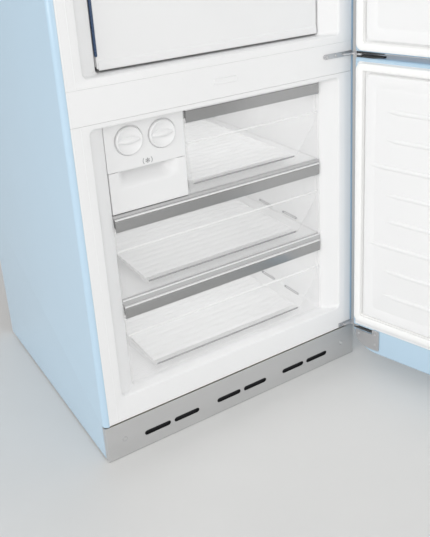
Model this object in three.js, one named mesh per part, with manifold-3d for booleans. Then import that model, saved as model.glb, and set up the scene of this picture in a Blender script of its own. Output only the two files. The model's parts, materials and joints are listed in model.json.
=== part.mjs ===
// A tall retro fridge-freezer: fridge above, freezer with drawers below, both doors hinged on the right.
// Laid out in millimetres from the floor (Z), the front flange (Y, into the cabinet) and the middle (X).
import * as THREE from "three";
import { mergeVertices } from "three/addons/utils/BufferGeometryUtils.js";
import Module from "manifold-3d";

const wasm = await Module();
wasm.setup();

// ---- Driving dimensions -------------------------------------------------------------------------
const WIDTH = 706;
const HEIGHT = 2050;
const DEPTH = 670; // cabinet without doors
const HALF = WIDTH / 2;
const GAP = 0.3; // between pieces that touch
const SHEET = 1.5; // steel sheet
const SKIN = 2.5; // thermoformed liner wall
const EDGE_RADIUS = 12; // rolled front edge of the cabinet shell
const TOP_RADIUS = 75;
const SHELL_BOTTOM = 4;
const BACK_Y = 656; // inner sheet of the back
const PAN_TOP = 64;
const PAN_THICK = 2;
const PAN_HALF = 296;

const OPENING_HALF = 303; // compartments at the front flange
const CAVITY_HALF = 268; // compartments behind the flared edge
const FLARE_DEPTH = 28;
const CAVITY_BACK = 600;
const FREEZER = { bottom: 152, top: 749, ceiling: 747 };
const FRIDGE = { bottom: 847, top: 1950, ceiling: 1946 };
const STEP = { y: 385, z: 345 }; // freezer floor steps over the machine compartment
const FLANGE_BOTTOM = 93;
const FLANGE_EDGE = HALF - EDGE_RADIUS - GAP;
const MULLION = { bottom: 760, top: 829 };
const MACHINE = { front: 440, top: 295 };

const KICK_TOP = 89;
const KICK_RETURN = 13.5;
const KICK_SLOT = { length: 66, height: 12, z: 35.5, pair: 75.5, pitch: 191 };

const FOOT_Y = 45;
const ROLLER_Y = 610;
const ROLLER_RADIUS = 20;
const RAIL = { inner: 300, outer: 344, bottom: 30, wall: 2.5 };

const HINGE = { x: 345, y: -26, open: THREE.MathUtils.degToRad(105.5), pin: 4, bore: 4.8 };
const HINGE_Z = { bottom: 101.5, middle: 802, top: 1985 };
const ARM_THICK = 4;
const DOOR_BACK = -14;
const DOOR_SIDE_DEPTH = 48; // flat part of the door's edge
const DOOR_BULGE = 36; // how far the front stands out in the middle
const BULGE_WIDTH = 260;
const DOOR_BACK_RADIUS = 8;
const DOOR_CORNER = 68;
const FREEZER_DOOR = { bottom: 38, top: 796, lining: [110, 788], panel: [150, 763] };
const FRIDGE_DOOR = { bottom: 808, top: 2046, lining: [816, 1976], panel: [838, 1950] };
const LINING_HALF = 345;
const PANEL_HALF = 317;
const PANEL_FACE = -4;
const SEAL_WIDTH = 19;

const DRAWER_HALF = 264.5;
const DRAWER_FRONT = 30;
const WALL = 2.5; // clear drawer walls
const TRIM_HEIGHT = 29;
const BOTTOM_DRAWER = { bottom: 156, top: 347, back: 380 };
const MIDDLE_DRAWER = { bottom: 366, top: 547, back: 525 };
const TOP_DRAWER = { bottom: 558, top: 744, back: 525 };
const MODULE = { left: -266, right: -88.5, split: 644, top: 743, back: 345 };
const KNOB = { radius: 30.5, z: 705, spread: 37 };
const MODULE_MIDDLE = (MODULE.left + MODULE.right) / 2;
const FULL = [-DRAWER_HALF, DRAWER_HALF];
const BESIDE_MODULE = [-85, DRAWER_HALF];
const SLOT_REACH = 44.5; // from a drawer's side to the slots in its sloping wall
const SHELF_Z = { lower: [354, 361], upper: [550.3, 554.5] };

const ZONE = { bottom: 851, top: 1042, back: 520 };
const CRISPER = { bottom: 1060, top: 1205, front: 125, back: 560, half: 257 };
const GLASS_SHELF_Z = [1048, 1212, 1450, 1690];
const GLASS_FRONT = 125;
const CONTROL_BOX = { half: 130, front: 60, back: 280, bottom: 1912 };
const BOTTLE_BIN = { heights: [1090, 1200], reach: 92 };
const UPPER_BIN = { heights: [1560, 1640], reach: 85 };
const BIN_HALF = 236;

const SEAM_Z = 326; // between the back panel and the rear cover
const COMPRESSOR = { x: -170, y: 548, bottom: 80 };
const CONDENSER = { x: [40, 262], y: [480, 620], top: 230 };
const DUCT_FACE = 541;
const EVAPORATOR = { half: 225, y: [550, 592], z: [395, 600] };
const FAN = { y: 566, z: 668, radius: 48 };

const HANDLE_X = -302;
const HANDLE_REACH = -138;
const FREEZER_HANDLE = [470, 740];
const FRIDGE_HANDLE = [900, 1170];

// ---- Materials ----------------------------------------------------------------------------------
function finish(color, roughness, metalness = 0, opacity = 1) {
  return { color, roughness, metalness, opacity, transparent: opacity < 1 };
}
const FINISH = {
  blue: finish(0xbfd9ea, 0.25),
  white: finish(0xf1f3f4, 0.4),
  clear: finish(0xe6edf0, 0.1, 0, 0.35),
  glass: finish(0xdfe9e6, 0.05, 0, 0.35),
  trim: finish(0x8f9396, 0.35, 0.6),
  steel: finish(0xb9babb, 0.4, 0.9),
  chrome: finish(0xdadcde, 0.12, 1),
  zinc: finish(0xa6a9ab, 0.45, 0.8),
  navy: finish(0x26344a, 0.35),
  black: finish(0x1c1d1f, 0.5),
  rubber: finish(0xe9ebec, 0.8),
  foam: finish(0xe8dcae, 0.95),
};

// ---- Solids -------------------------------------------------------------------------------------
function solid(geometry) {
  const plain = geometry.clone();
  plain.deleteAttribute("normal");
  plain.deleteAttribute("uv");
  const merged = mergeVertices(plain, 1e-4);
  const vertProperties = Float32Array.from(merged.attributes.position.array);
  const triVerts = Uint32Array.from(merged.index.array);
  return new wasm.Manifold(new wasm.Mesh({ numProp: 3, vertProperties, triVerts }));
}

function join(...bodies) {
  return bodies.reduce((whole, body) => whole.add(body));
}

function cut(body, ...tools) {
  return tools.reduce((rest, tool) => rest.subtract(tool), body);
}

function box([x0, x1], [y0, y1], [z0, z1]) {
  const geometry = new THREE.BoxGeometry(x1 - x0, y1 - y0, z1 - z0);
  geometry.translate((x0 + x1) / 2, (y0 + y1) / 2, (z0 + z1) / 2);
  return solid(geometry);
}

// A closed outline through corners [a, b, radius]; a corner with a radius becomes an arc.
function outline(corners, steps = 5) {
  const points = [];
  corners.forEach(([a, b, radius = 0], i) => {
    const corner = new THREE.Vector2(a, b);
    if (radius === 0) {
      points.push(corner);
      return;
    }
    const towards = ([u, v]) => new THREE.Vector2(u, v).sub(corner).normalize();
    const before = towards(corners.at(i - 1));
    const after = towards(corners[(i + 1) % corners.length]);
    const half = Math.acos(before.dot(after)) / 2;
    const middle = before.clone().add(after).normalize().multiplyScalar(radius / Math.sin(half));
    const centre = corner.clone().add(middle);
    const reach = radius / Math.tan(half);
    const start = corner.clone().addScaledVector(before, reach).sub(centre).angle();
    const end = corner.clone().addScaledVector(after, reach).sub(centre).angle();
    const turn = THREE.MathUtils.euclideanModulo(end - start + Math.PI, 2 * Math.PI) - Math.PI;
    for (let k = 0; k <= steps; k += 1) {
      const angle = start + (turn * k) / steps;
      points.push(new THREE.Vector2(Math.cos(angle), Math.sin(angle)).multiplyScalar(radius).add(centre));
    }
  });
  return points;
}

// Corners of an upright rectangle, with one radius for the lower corners and one for the upper.
function rectangle([a0, a1], [b0, b1], lower = 0, upper = lower) {
  return [[a0, b0, lower], [a1, b0, lower], [a1, b1, upper], [a0, b1, upper]];
}

function extruded(points, depth) {
  return new THREE.ExtrudeGeometry(new THREE.Shape(points), { depth, bevelEnabled: false });
}

// Outlines drawn in XZ, YZ or XY, extruded along the third axis.
function alongY(points, [y0, y1]) {
  return solid(extruded(points, y1 - y0).rotateX(Math.PI / 2).translate(0, y1, 0));
}

function alongX(points, [x0, x1]) {
  const axes = [new THREE.Vector3(0, 1, 0), new THREE.Vector3(0, 0, 1), new THREE.Vector3(1, 0, 0)];
  const turned = extruded(points, x1 - x0).applyMatrix4(new THREE.Matrix4().makeBasis(...axes));
  return solid(turned.translate(x0, 0, 0));
}

function alongZ(points, [z0, z1]) {
  return solid(extruded(points, z1 - z0).translate(0, 0, z0));
}

// A skin through rings of points at successive depths y; each ring is an outline in XZ.
function loft(rings) {
  const count = rings[0].points.length;
  const positions = rings.flatMap(({ points, y }) => points.flatMap((p) => [p.x, y, p.y]));
  const faces = [];
  for (let r = 0; r + 1 < rings.length; r += 1) {
    for (let k = 0; k < count; k += 1) {
      const next = (k + 1) % count;
      const [a, b] = [r * count + k, r * count + next];
      faces.push(a, b, b + count, a, b + count, a + count);
    }
  }
  const last = (rings.length - 1) * count;
  for (let k = 1; k + 1 < count; k += 1) {
    faces.push(0, k + 1, k, last, last + k, last + k + 1);
  }
  const forward = rings.at(-1).y > rings[0].y;
  const geometry = new THREE.BufferGeometry();
  geometry.setAttribute("position", new THREE.Float32BufferAttribute(positions, 3));
  geometry.setIndex(forward ? faces.reverse() : faces);
  return solid(geometry);
}

// A turned piece: profile points [radius, distance] about an axis.
function turned(profile, sides, axis, [x, y, z]) {
  const points = profile.map(([radius, along]) => new THREE.Vector2(radius, along));
  const geometry = new THREE.LatheGeometry(points, sides);
  if (axis === "x") geometry.rotateZ(-Math.PI / 2);
  if (axis === "z") geometry.rotateX(Math.PI / 2);
  return solid(geometry.translate(x, y, z));
}

function rod(radius, [from, to], axis, [x, y, z], sides = 16) {
  return turned([[0, from], [radius, from], [radius, to], [0, to]], sides, axis, [x, y, z]);
}

function mirrored(body) {
  return body.mirror([1, 0, 0]);
}

function addPart(parent, name, body, look) {
  const { vertProperties, triVerts } = body.getMesh();
  const geometry = new THREE.BufferGeometry();
  geometry.setAttribute("position", new THREE.BufferAttribute(vertProperties, 3));
  geometry.setIndex(new THREE.BufferAttribute(triVerts, 1));
  geometry.computeVertexNormals();
  const mesh = new THREE.Mesh(geometry, new THREE.MeshStandardMaterial(look));
  mesh.name = name;
  parent.add(mesh);
}

// ---- Cabinet ------------------------------------------------------------------------------------
function cabinetOutline(inset, bottom) {
  return outline(rectangle([-HALF + inset, HALF - inset], [bottom, HEIGHT - inset], 0, TOP_RADIUS - inset));
}

// The cabinet's outer form, or the same form shrunk by the sheet when wall is given.
function rolledForm(wall, bottom, back) {
  const radius = EDGE_RADIUS - wall;
  const rings = [{ points: cabinetOutline(EDGE_RADIUS, bottom), y: wall > 0 ? -1 : 0 }];
  const steps = 4;
  for (let k = wall > 0 ? 0 : 1; k <= steps; k += 1) {
    const angle = (k * Math.PI) / (2 * steps);
    const inset = EDGE_RADIUS - radius * Math.sin(angle);
    rings.push({ points: cabinetOutline(inset, bottom), y: EDGE_RADIUS - radius * Math.cos(angle) });
  }
  rings.push({ points: cabinetOutline(wall, bottom), y: back });
  return loft(rings);
}

function cabinetShell() {
  const room = rolledForm(SHEET, SHELL_BOTTOM - 10, DEPTH + 1);
  const kickNotch = box([-HALF - 1, HALF + 1], [-1, KICK_RETURN + 0.5], [0, KICK_TOP + 2]);
  return cut(rolledForm(0, SHELL_BOTTOM, DEPTH), room, kickNotch);
}

// The space of a compartment, grown by the wall that surrounds it.
function flaredSpace({ bottom, top, ceiling }, grow) {
  const section = (half, high, radius) =>
    outline(rectangle([-half - grow, half + grow], [bottom - grow, high + grow], radius + grow), 3);
  const mouth = (inset) => section(OPENING_HALF - inset, top, 10);
  const inside = section(CAVITY_HALF, ceiling, 8);
  return loft([
    { points: mouth(0), y: -1 },
    { points: mouth(0), y: 0.5 },
    { points: mouth(5), y: 9 },
    { points: inside, y: FLARE_DEPTH },
    { points: inside, y: CAVITY_BACK + grow },
  ]);
}

function fridgeSpace(grow) {
  return flaredSpace(FRIDGE, grow);
}

function freezerSpace(grow) {
  const step = box([-400, 400], [STEP.y + grow, CAVITY_BACK + 20], [100, STEP.z - grow]);
  return cut(flaredSpace(FREEZER, grow), step);
}

// Runners on both side walls that carry a drawer's rim or a shelf.
function runners(y, z, reach = 5.4) {
  const right = box([CAVITY_HALF - reach, CAVITY_HALF + 1], y, z);
  return join(right, mirrored(right));
}

function freezerLiner() {
  const flange = box([-FLANGE_EDGE, FLANGE_EDGE], [0, SKIN], [FLANGE_BOTTOM, MULLION.bottom - GAP]);
  const wall = cut(join(flange, freezerSpace(SKIN)), freezerSpace(0), box([-400, 400], [-5, 0], [0, 900]));
  const drawerRunners = [BOTTOM_DRAWER, MIDDLE_DRAWER].map(({ top, back }) =>
    runners([40, back], [top - 12, top - 5.4]));
  const shelfRunners = [SHELF_Z.lower, SHELF_Z.upper].map(([underside]) =>
    runners([46, 520], [underside - 3.3, underside - GAP]));
  return join(wall, ...drawerRunners, ...shelfRunners);
}

function fridgeLiner() {
  const form = cabinetOutline(EDGE_RADIUS + GAP, MULLION.top + GAP);
  const flange = alongY(form, [0, SKIN]);
  const wall = cut(join(flange, fridgeSpace(SKIN)), fridgeSpace(0), box([-400, 400], [-5, 0], [800, 2100]));
  const shelves = GLASS_SHELF_Z.map((z) => runners([130, 560], [z - 5.3, z - GAP], 8));
  const crisper = runners([130, 560], [CRISPER.top - 14, CRISPER.top - 6], 8);
  const zone = runners([44, 520], [ZONE.top - 12, ZONE.top - 5.4]);
  return join(wall, ...shelves, crisper, zone);
}

function cabinetFoam() {
  const block = alongY(cabinetOutline(SHEET + GAP, PAN_TOP + GAP), [14, BACK_Y - 0.5]);
  const machineRoom = box([-400, 400], [MACHINE.front, 700], [0, MACHINE.top]);
  return cut(block, fridgeSpace(SKIN + GAP), freezerSpace(SKIN + GAP), machineRoom);
}

function backPanel() {
  return alongY(cabinetOutline(SHEET + GAP, SEAM_Z), [BACK_Y, BACK_Y + 1.2]);
}

function rearCover() {
  const edge = HALF - SHEET - GAP;
  const sheet = box([-edge, edge], [BACK_Y, BACK_Y + 1.2], [PAN_TOP + 2, SEAM_Z - 1]);
  const vents = [];
  for (const x of [-210, -70, 70, 210]) {
    for (const z of [130, 150, 170, 190]) {
      vents.push(box([x - 45, x + 45], [BACK_Y - 1, BACK_Y + 3], [z - 3, z + 3]));
    }
  }
  return cut(sheet, ...vents);
}

function mullionCover() {
  return box([-FLANGE_EDGE, FLANGE_EDGE], [0, 2.2], [MULLION.bottom, MULLION.top]);
}

function mullionPlate() {
  return alongY(outline(rectangle([-29.5, 29.5], [789, 801], 5.9), 4), [-2.2, -GAP]);
}

// ---- Plinth, base and machine compartment -------------------------------------------------------
function kickPlate() {
  const inner = HALF - 1.2;
  const folded = outline([
    [-HALF, KICK_RETURN], [-HALF, 0, 2.5], [HALF, 0, 2.5], [HALF, KICK_RETURN],
    [inner, KICK_RETURN], [inner, 1.2], [-inner, 1.2], [-inner, KICK_RETURN],
  ], 3);
  const topFold = box([-inner - 0.1, inner + 0.1], [1, KICK_RETURN], [KICK_TOP - 1.2, KICK_TOP]);
  const slots = [];
  for (const pair of [-1, 0, 1]) {
    for (const side of [-0.5, 0.5]) {
      const x = pair * KICK_SLOT.pitch + side * KICK_SLOT.pair;
      const z = KICK_SLOT.z;
      const shape = rectangle(
        [x - KICK_SLOT.length / 2, x + KICK_SLOT.length / 2],
        [z - KICK_SLOT.height / 2, z + KICK_SLOT.height / 2],
        KICK_SLOT.height / 2 - 0.05,
      );
      slots.push(alongY(outline(shape, 4), [-1, 3]));
    }
  }
  return cut(join(alongZ(folded, [1, KICK_TOP]), topFold), ...slots);
}

function basePan() {
  return box([-PAN_HALF, PAN_HALF], [18, DEPTH - 18], [PAN_TOP - PAN_THICK, PAN_TOP]);
}

function rightRail() {
  const { inner, outer, bottom, wall } = RAIL;
  const channel = outline([
    [inner, bottom], [inner, PAN_TOP], [outer, PAN_TOP], [outer, bottom], [outer - wall, bottom],
    [outer - wall, PAN_TOP - wall], [inner + wall, PAN_TOP - wall], [inner + wall, bottom],
  ]);
  const ears = [[inner, inner + wall], [outer - wall, outer]].map((x) =>
    box(x, [ROLLER_Y - 22, ROLLER_Y + 22], [10, bottom + 5]));
  const bridge = box([inner + 1, outer - 1], [FOOT_Y - 15, FOOT_Y + 15], [34, 38]);
  const middle = (inner + outer) / 2;
  const axleHole = rod(4.6, [-30, 30], "x", [middle, ROLLER_Y, ROLLER_RADIUS]);
  const studHole = rod(5.6, [20, 60], "z", [middle, FOOT_Y, 0]);
  return cut(join(alongY(channel, [20, 650]), ...ears, bridge), axleHole, studHole);
}

function rightFoot() {
  const profile = [[0, 0], [18, 0], [18, 7], [10, 12], [5, 12], [5, 56], [0, 56]];
  return turned(profile, 20, "z", [(RAIL.inner + RAIL.outer) / 2, FOOT_Y, 0]);
}

function rightRoller() {
  const profile = [
    [0, -22.6], [4, -22.6], [4, -15], [18.5, -15], [ROLLER_RADIUS, -13.5],
    [ROLLER_RADIUS, 13.5], [18.5, 15], [4, 15], [4, 22.6], [0, 22.6],
  ];
  return turned(profile, 20, "x", [(RAIL.inner + RAIL.outer) / 2, ROLLER_Y, ROLLER_RADIUS]);
}

function compressor() {
  const { x, y, bottom } = COMPRESSOR;
  const can = [
    [0, 0], [46, 0], [62, 12], [70, 36], [72, 72], [78, 76],
    [78, 82], [72, 86], [68, 118], [54, 142], [30, 154], [0, 158],
  ];
  const geometry = new THREE.LatheGeometry(can.map(([r, z]) => new THREE.Vector2(r, z)), 18);
  geometry.rotateX(Math.PI / 2).scale(1.2, 1, 1).translate(x, y, bottom);
  const feet = [-92, 92].map((side) =>
    box([x + side - 18, x + side + 18], [y - 60, y + 60], [bottom - 4, bottom + 2]));
  const plate = box([x - 95, x + 95], [y - 40, y + 40], [bottom - 4, bottom + 4]);
  const stands = [[-1, -1], [-1, 1], [1, -1], [1, 1]].map(([i, j]) =>
    rod(9, [PAN_TOP + GAP, bottom - 3], "z", [x + i * 96, y + j * 48, 0], 12));
  return join(solid(geometry), plate, ...feet, ...stands);
}

function condenser() {
  const [x0, x1] = CONDENSER.x;
  const fins = [];
  for (let x = x0; x <= x1; x += 37) {
    fins.push(box([x, x + 2], CONDENSER.y, [PAN_TOP + GAP, CONDENSER.top]));
  }
  const tubes = [];
  for (const z of [110, 180]) {
    for (const y of [515, 585]) {
      tubes.push(rod(5, [x0 - 12, x1 + 12], "x", [0, y, z], 6));
    }
  }
  return join(...fins, ...tubes);
}

// ---- Cooling inside the compartments ------------------------------------------------------------
function freezerDuctCover() {
  const plate = box([-250, 250], [DUCT_FACE, DUCT_FACE + 3], [STEP.z + 6, 738]);
  const slots = [];
  for (const x of [-160, -80, 0, 80, 160]) {
    slots.push(box([x - 30, x + 30], [DUCT_FACE - 1, DUCT_FACE + 5], [372, 380]));
  }
  for (const z of [636, 652, 668, 684, 700]) {
    slots.push(box([-40, 40], [DUCT_FACE - 1, DUCT_FACE + 5], [z - 3, z + 3]));
  }
  return cut(plate, ...slots);
}

function evaporator() {
  const fins = [];
  for (let x = -210; x <= 210; x += 60) {
    fins.push(box([x - 1, x + 1], EVAPORATOR.y, EVAPORATOR.z));
  }
  const tubes = [430, 500, 570].map((z) =>
    rod(4.5, [-EVAPORATOR.half, EVAPORATOR.half], "x", [0, 571, z], 6));
  return join(...fins, ...tubes);
}

function evaporatorFan() {
  const hub = rod(14, [FAN.y - 14, FAN.y + 18], "y", [0, 0, FAN.z], 16);
  const blades = [];
  for (let k = 0; k < 5; k += 1) {
    const blade = new THREE.BoxGeometry(20, 2, FAN.radius - 8);
    blade.rotateZ(0.5).translate(0, 0, 8 + (FAN.radius - 8) / 2);
    blade.rotateY((k * 2 * Math.PI) / 5).translate(0, FAN.y, FAN.z);
    blades.push(solid(blade));
  }
  return join(hub, ...blades);
}

function controlBox() {
  const high = FRIDGE.ceiling - 0.4;
  const { half, front, back, bottom } = CONTROL_BOX;
  const side = outline([
    [front, bottom], [front, high], [back, high], [back, bottom + 18], [back - 18, bottom],
  ]);
  return alongX(side, [-half, half]);
}

function temperatureKnob() {
  const z = CONTROL_BOX.bottom + 17;
  const disc = rod(14, [CONTROL_BOX.front - 16, CONTROL_BOX.front - 0.4], "y", [0, 0, z], 24);
  return join(disc, box([-2, 2], [CONTROL_BOX.front - 19, CONTROL_BOX.front - 14], [z - 11, z + 11]));
}

// ---- Drawers ------------------------------------------------------------------------------------
// Side profile of a clear front: a grip step under the trim, and the lower part flush.
function drawerFront({ bottom, top }, [x0, x1]) {
  const crease = top - 74;
  const face = DRAWER_FRONT;
  const side = outline([
    [face, bottom], [face, crease], [face + 4, crease + 5], [face + 4, top - 1], [face + 4 + WALL, top - 1],
    [face + 4 + WALL, crease + 3], [face + WALL, crease - 1], [face + WALL, bottom],
  ]);
  return alongX(side, [x0, x1]);
}

// Cross-section of the tub behind the front, shrunk by inset. Its lower side walls slope inwards.
function tubSection({ bottom, top }, [x0, x1], [leftFoot, rightFoot], inset) {
  const floor = bottom + 16 + inset;
  const knee = bottom + 92 + inset * 0.5;
  return outline([
    [x0 + inset, top - 1 + (inset > 0 ? 5 : 0)], [x0 + inset, knee], [x0 + leftFoot + inset * 0.5, floor],
    [x1 - rightFoot - inset * 0.5, floor], [x1 - inset, knee], [x1 - inset, top - 1 + (inset > 0 ? 5 : 0)],
  ]);
}

function clearDrawer(size, [x0, x1], feet) {
  const start = DRAWER_FRONT + 4;
  const tub = [x0 + 2.5, x1 - 2.5];
  const outer = alongY(tubSection(size, tub, feet, 0), [start, size.back]);
  const inner = alongY(tubSection(size, tub, feet, WALL), [start - 6, size.back - WALL]);
  const rims = [[x0, x0 + 5], [x1 - 5, x1]].map((x) =>
    box(x, [start, size.back], [size.top - 5, size.top - 1]));
  const room = alongY(tubSection(size, tub, feet, WALL), [start + WALL, size.back - WALL]);
  const front = drawerFront(size, [x0, x1]);
  return join(cut(join(outer, ...rims), inner, room), front);
}

function fullDrawer(size) {
  const body = clearDrawer(size, [-DRAWER_HALF, DRAWER_HALF], [59, 59]);
  const slots = [];
  for (const y of [[60, 115], [162, 216]]) {
    const x = DRAWER_HALF - SLOT_REACH;
    const slot = box([x - 3, x + 3], y, [size.bottom + 10, size.bottom + 70]);
    slots.push(slot, mirrored(slot));
  }
  return cut(body, ...slots);
}

function drawerTrim({ top }, [x0, x1]) {
  const face = DRAWER_FRONT - 6;
  const back = DRAWER_FRONT + 4 - GAP;
  const bottom = top - TRIM_HEIGHT;
  const side = outline([
    [back, bottom + 10], [face + 3, bottom + 8], [face + 3, bottom], [face + 1.2, bottom], [face, bottom + 3],
    [face, top - 4], [face + 4, top], [back + 4, top + 0.6], [back + 4, top - 0.7], [back, top - 0.7],
  ]);
  return alongX(side, [x0, x1]);
}

function freezerShelf([z0, z1], front) {
  return box([-CAVITY_HALF + 1.5, CAVITY_HALF - 1.5], [front, 532], [z0, z1]);
}

// ---- Ice maker ----------------------------------------------------------------------------------
function iceMakerBody() {
  const { left, right, split, top, back } = MODULE;
  const front = box([left, right], [DRAWER_FRONT, 33], [split + 1, top]);
  const roof = box([left, right], [DRAWER_FRONT, back], [top - 2, top]);
  const sides = [[left, left + 2], [right - 2, right]].map((x) => box(x, [DRAWER_FRONT, back], [672, top]));
  const rear = box([left, right], [back - 2, back], [672, top]);
  const holes = [-1, 1].flatMap((side) => {
    const x = MODULE_MIDDLE + side * KNOB.spread;
    return [
      rod(6.6, [20, 40], "y", [x, 0, KNOB.z]),
      rod(KNOB.radius + 1.5, [20, 31.4], "y", [x, 0, KNOB.z], 32),
      rod(3.6, [back - 5, back + 5], "y", [x, 0, KNOB.z]),
    ];
  });
  return cut(join(front, roof, ...sides, rear), ...holes);
}

function iceKnob(side) {
  const x = MODULE_MIDDLE + side * KNOB.spread;
  const profile = [[0, 22], [28.5, 22], [KNOB.radius, 24], [KNOB.radius, 31], [0, 31]];
  const disc = turned(profile, 32, "y", [x, 0, KNOB.z]);
  const grip = alongY(outline(rectangle([x - 24, x + 24], [KNOB.z - 5, KNOB.z + 5], 4.9), 3), [15, 23]);
  const shaft = rod(6, [30, 46], "y", [x, 0, KNOB.z]);
  return join(disc, grip, shaft);
}

function iceTray(side) {
  const x = MODULE_MIDDLE + side * KNOB.spread;
  const [front, back] = [46.3, 336];
  const tray = box([x - 29, x + 29], [front, back], [KNOB.z - 12, KNOB.z + 12]);
  const cells = [box([x - 26, x + 26], [front + 4, back - 4], [KNOB.z + 1, KNOB.z + 20])];
  const pitch = (back - front - 4) / 7;
  for (let k = 0; k < 7; k += 1) {
    const y0 = front + 4 + k * pitch;
    for (const column of [[x - 26, x - 1.5], [x + 1.5, x + 26]]) {
      cells.push(box(column, [y0, y0 + pitch - 4], [KNOB.z - 9, KNOB.z + 2]));
    }
  }
  const journal = rod(3, [back - 1, MODULE.back + 1], "y", [x, 0, KNOB.z]);
  return join(cut(tray, ...cells), journal);
}

function iceBin() {
  const [x0, x1] = [MODULE.left + 1, MODULE.right - 1];
  const [bottom, top] = [557, MODULE.split - 1];
  const [gripLeft, gripRight, gripBottom, gripBack] = [x0 + 19, x1 - 13, 604, 50];
  const block = box([x0, x1], [DRAWER_FRONT, 340], [bottom, top]);
  const room = box([x0 + WALL, x1 - WALL], [DRAWER_FRONT + WALL, 340 - WALL], [bottom + WALL, top + 10]);
  const gripSides = [gripLeft - WALL, gripRight + WALL];
  const gripWall = box(gripSides, [DRAWER_FRONT, gripBack + WALL], [gripBottom - WALL, top]);
  const grip = alongX(outline([
    [DRAWER_FRONT - 1, gripBottom], [gripBack - 14, gripBottom], [gripBack, gripBottom + 12],
    [gripBack, top + 1], [DRAWER_FRONT - 1, top + 1],
  ]), [gripLeft, gripRight]);
  return cut(join(cut(block, room), gripWall), grip);
}

// ---- Fridge compartment -------------------------------------------------------------------------
function zoneDrawer() {
  const faceShape = rectangle([-DRAWER_HALF + 5.5, DRAWER_HALF], [ZONE.bottom, ZONE.top], 22, 4);
  const face = alongY(outline(faceShape, 4), [DRAWER_FRONT, DRAWER_FRONT + 4]);
  const half = DRAWER_HALF - 2.5;
  const outer = box([-half, half], [DRAWER_FRONT + 3, ZONE.back], [ZONE.bottom + 6, ZONE.top - 1]);
  const floor = ZONE.bottom + 6 + WALL;
  const room = box([-half + WALL, half - WALL], [DRAWER_FRONT + 4, ZONE.back - WALL], [floor, ZONE.top + 10]);
  const rim = box([half - 3, DRAWER_HALF], [DRAWER_FRONT + 3, ZONE.back], [ZONE.top - 5, ZONE.top - 1]);
  return cut(join(outer, rim, mirrored(rim), face), room);
}

function zoneStrip() {
  const depth = [DRAWER_FRONT - 1, DRAWER_FRONT + 2.6];
  return box([-DRAWER_HALF, -DRAWER_HALF + 5.2], depth, [ZONE.bottom + 27, ZONE.top - 4]);
}

function crisperDrawer() {
  const { half } = CRISPER;
  const outer = box([-half, half], [CRISPER.front, CRISPER.back], [CRISPER.bottom, CRISPER.top]);
  const room = box(
    [-half + WALL, half - WALL],
    [CRISPER.front + WALL, CRISPER.back - WALL],
    [CRISPER.bottom + WALL, CRISPER.top + 10],
  );
  const rim = box([half - 1, half + 6], [CRISPER.front + 3, CRISPER.back], [CRISPER.top - 5, CRISPER.top - 1]);
  return cut(join(outer, rim, mirrored(rim)), room);
}

function glassShelf(z, front = GLASS_FRONT) {
  return box([-CAVITY_HALF + 2, CAVITY_HALF - 2], [front, 572], [z, z + 5]);
}

// ---- Hinges on the cabinet ----------------------------------------------------------------------
// An arm that reaches forward to the hinge line, drawn in plan.
function hingeArm(z, left) {
  const right = HINGE.x + 6;
  const plan = outline([
    [left, -GAP], [left, -10, 5], [HINGE.x - 9, -14, 5], [HINGE.x - 9, HINGE.y - 8, 7],
    [right, HINGE.y - 8, 6], [right, -GAP],
  ], 4);
  return alongZ(plan, [z - ARM_THICK / 2, z + ARM_THICK / 2]);
}

function hingePin(from, to) {
  return rod(HINGE.pin, [from, to], "z", [HINGE.x, HINGE.y, 0], 20);
}

function bottomHinge() {
  const z = HINGE_Z.bottom;
  const foot = box([302, 340], [-2.8, -GAP], [z - 7, z + 4]);
  return join(hingeArm(z, 312), foot, hingePin(z, z + 22));
}

function topHinge() {
  const z = HINGE_Z.top;
  const foot = box([302, 340], [-2.8, -GAP], [z - 4, z + 7]);
  return join(hingeArm(z, 312), foot, hingePin(z - 22, z));
}

function middleHinge() {
  const z = HINGE_Z.middle;
  const strap = outline([[259, z - 5.4, 5], [342, z - 5.4], [342, z + 5.4], [259, z + 5.4, 5]], 4);
  const plate = alongY(strap, [-3.2, -GAP]);
  const barrel = rod(7, [z - 5.2, z + 5.2], "z", [HINGE.x, HINGE.y, 0], 20);
  return join(plate, hingeArm(z, 312), barrel, hingePin(z - 24, z + 24));
}

// ---- Doors --------------------------------------------------------------------------------------
// Outline of a door at an inset, less a wall; corners soften towards the middle of the bulge.
function doorOutline({ bottom, top, radii }, inset, wall) {
  const widest = HALF - inset - 10;
  const [lower, upper] = radii.map((radius) =>
    Math.min(Math.max(radius - inset, 4 + 0.8 * inset), widest) - wall);
  const edge = inset + wall;
  return outline(rectangle([-HALF + edge, HALF - edge], [bottom + edge, top - edge], lower, upper), 4);
}

// The door's solid form, shrunk by wall on every side.
function doorForm(size, wall) {
  const rings = [];
  for (let k = 0; k <= 3; k += 1) {
    const angle = (k * Math.PI) / 6;
    const inset = DOOR_BACK_RADIUS * (1 - Math.sin(angle));
    const depth = DOOR_BACK_RADIUS - (DOOR_BACK_RADIUS - wall) * Math.cos(angle);
    rings.push({ points: doorOutline(size, inset, wall * Math.sin(angle)), y: DOOR_BACK - depth });
  }
  const steps = 5;
  for (let k = 0; k <= steps; k += 1) {
    const angle = (k * Math.PI) / (2 * steps);
    const power = 0.62; // squarer than a circle
    const inset = BULGE_WIDTH * (1 - Math.cos(angle) ** power);
    const rise = (DOOR_BULGE - wall) * Math.sin(angle) ** power;
    rings.push({ points: doorOutline(size, inset, wall), y: DOOR_BACK - DOOR_SIDE_DEPTH - rise });
  }
  return loft(rings);
}

function doorCuts(size) {
  const pockets = size.pockets.map((z) =>
    box([HINGE.x - 50, HALF + 5], [HINGE.y - 20, DOOR_BACK + 5], [z - 5.5, z + 5.5]));
  const bores = size.bores.map((span) => rod(HINGE.bore, span, "z", [HINGE.x, HINGE.y, 0], 20));
  return [...pockets, ...bores];
}

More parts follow.
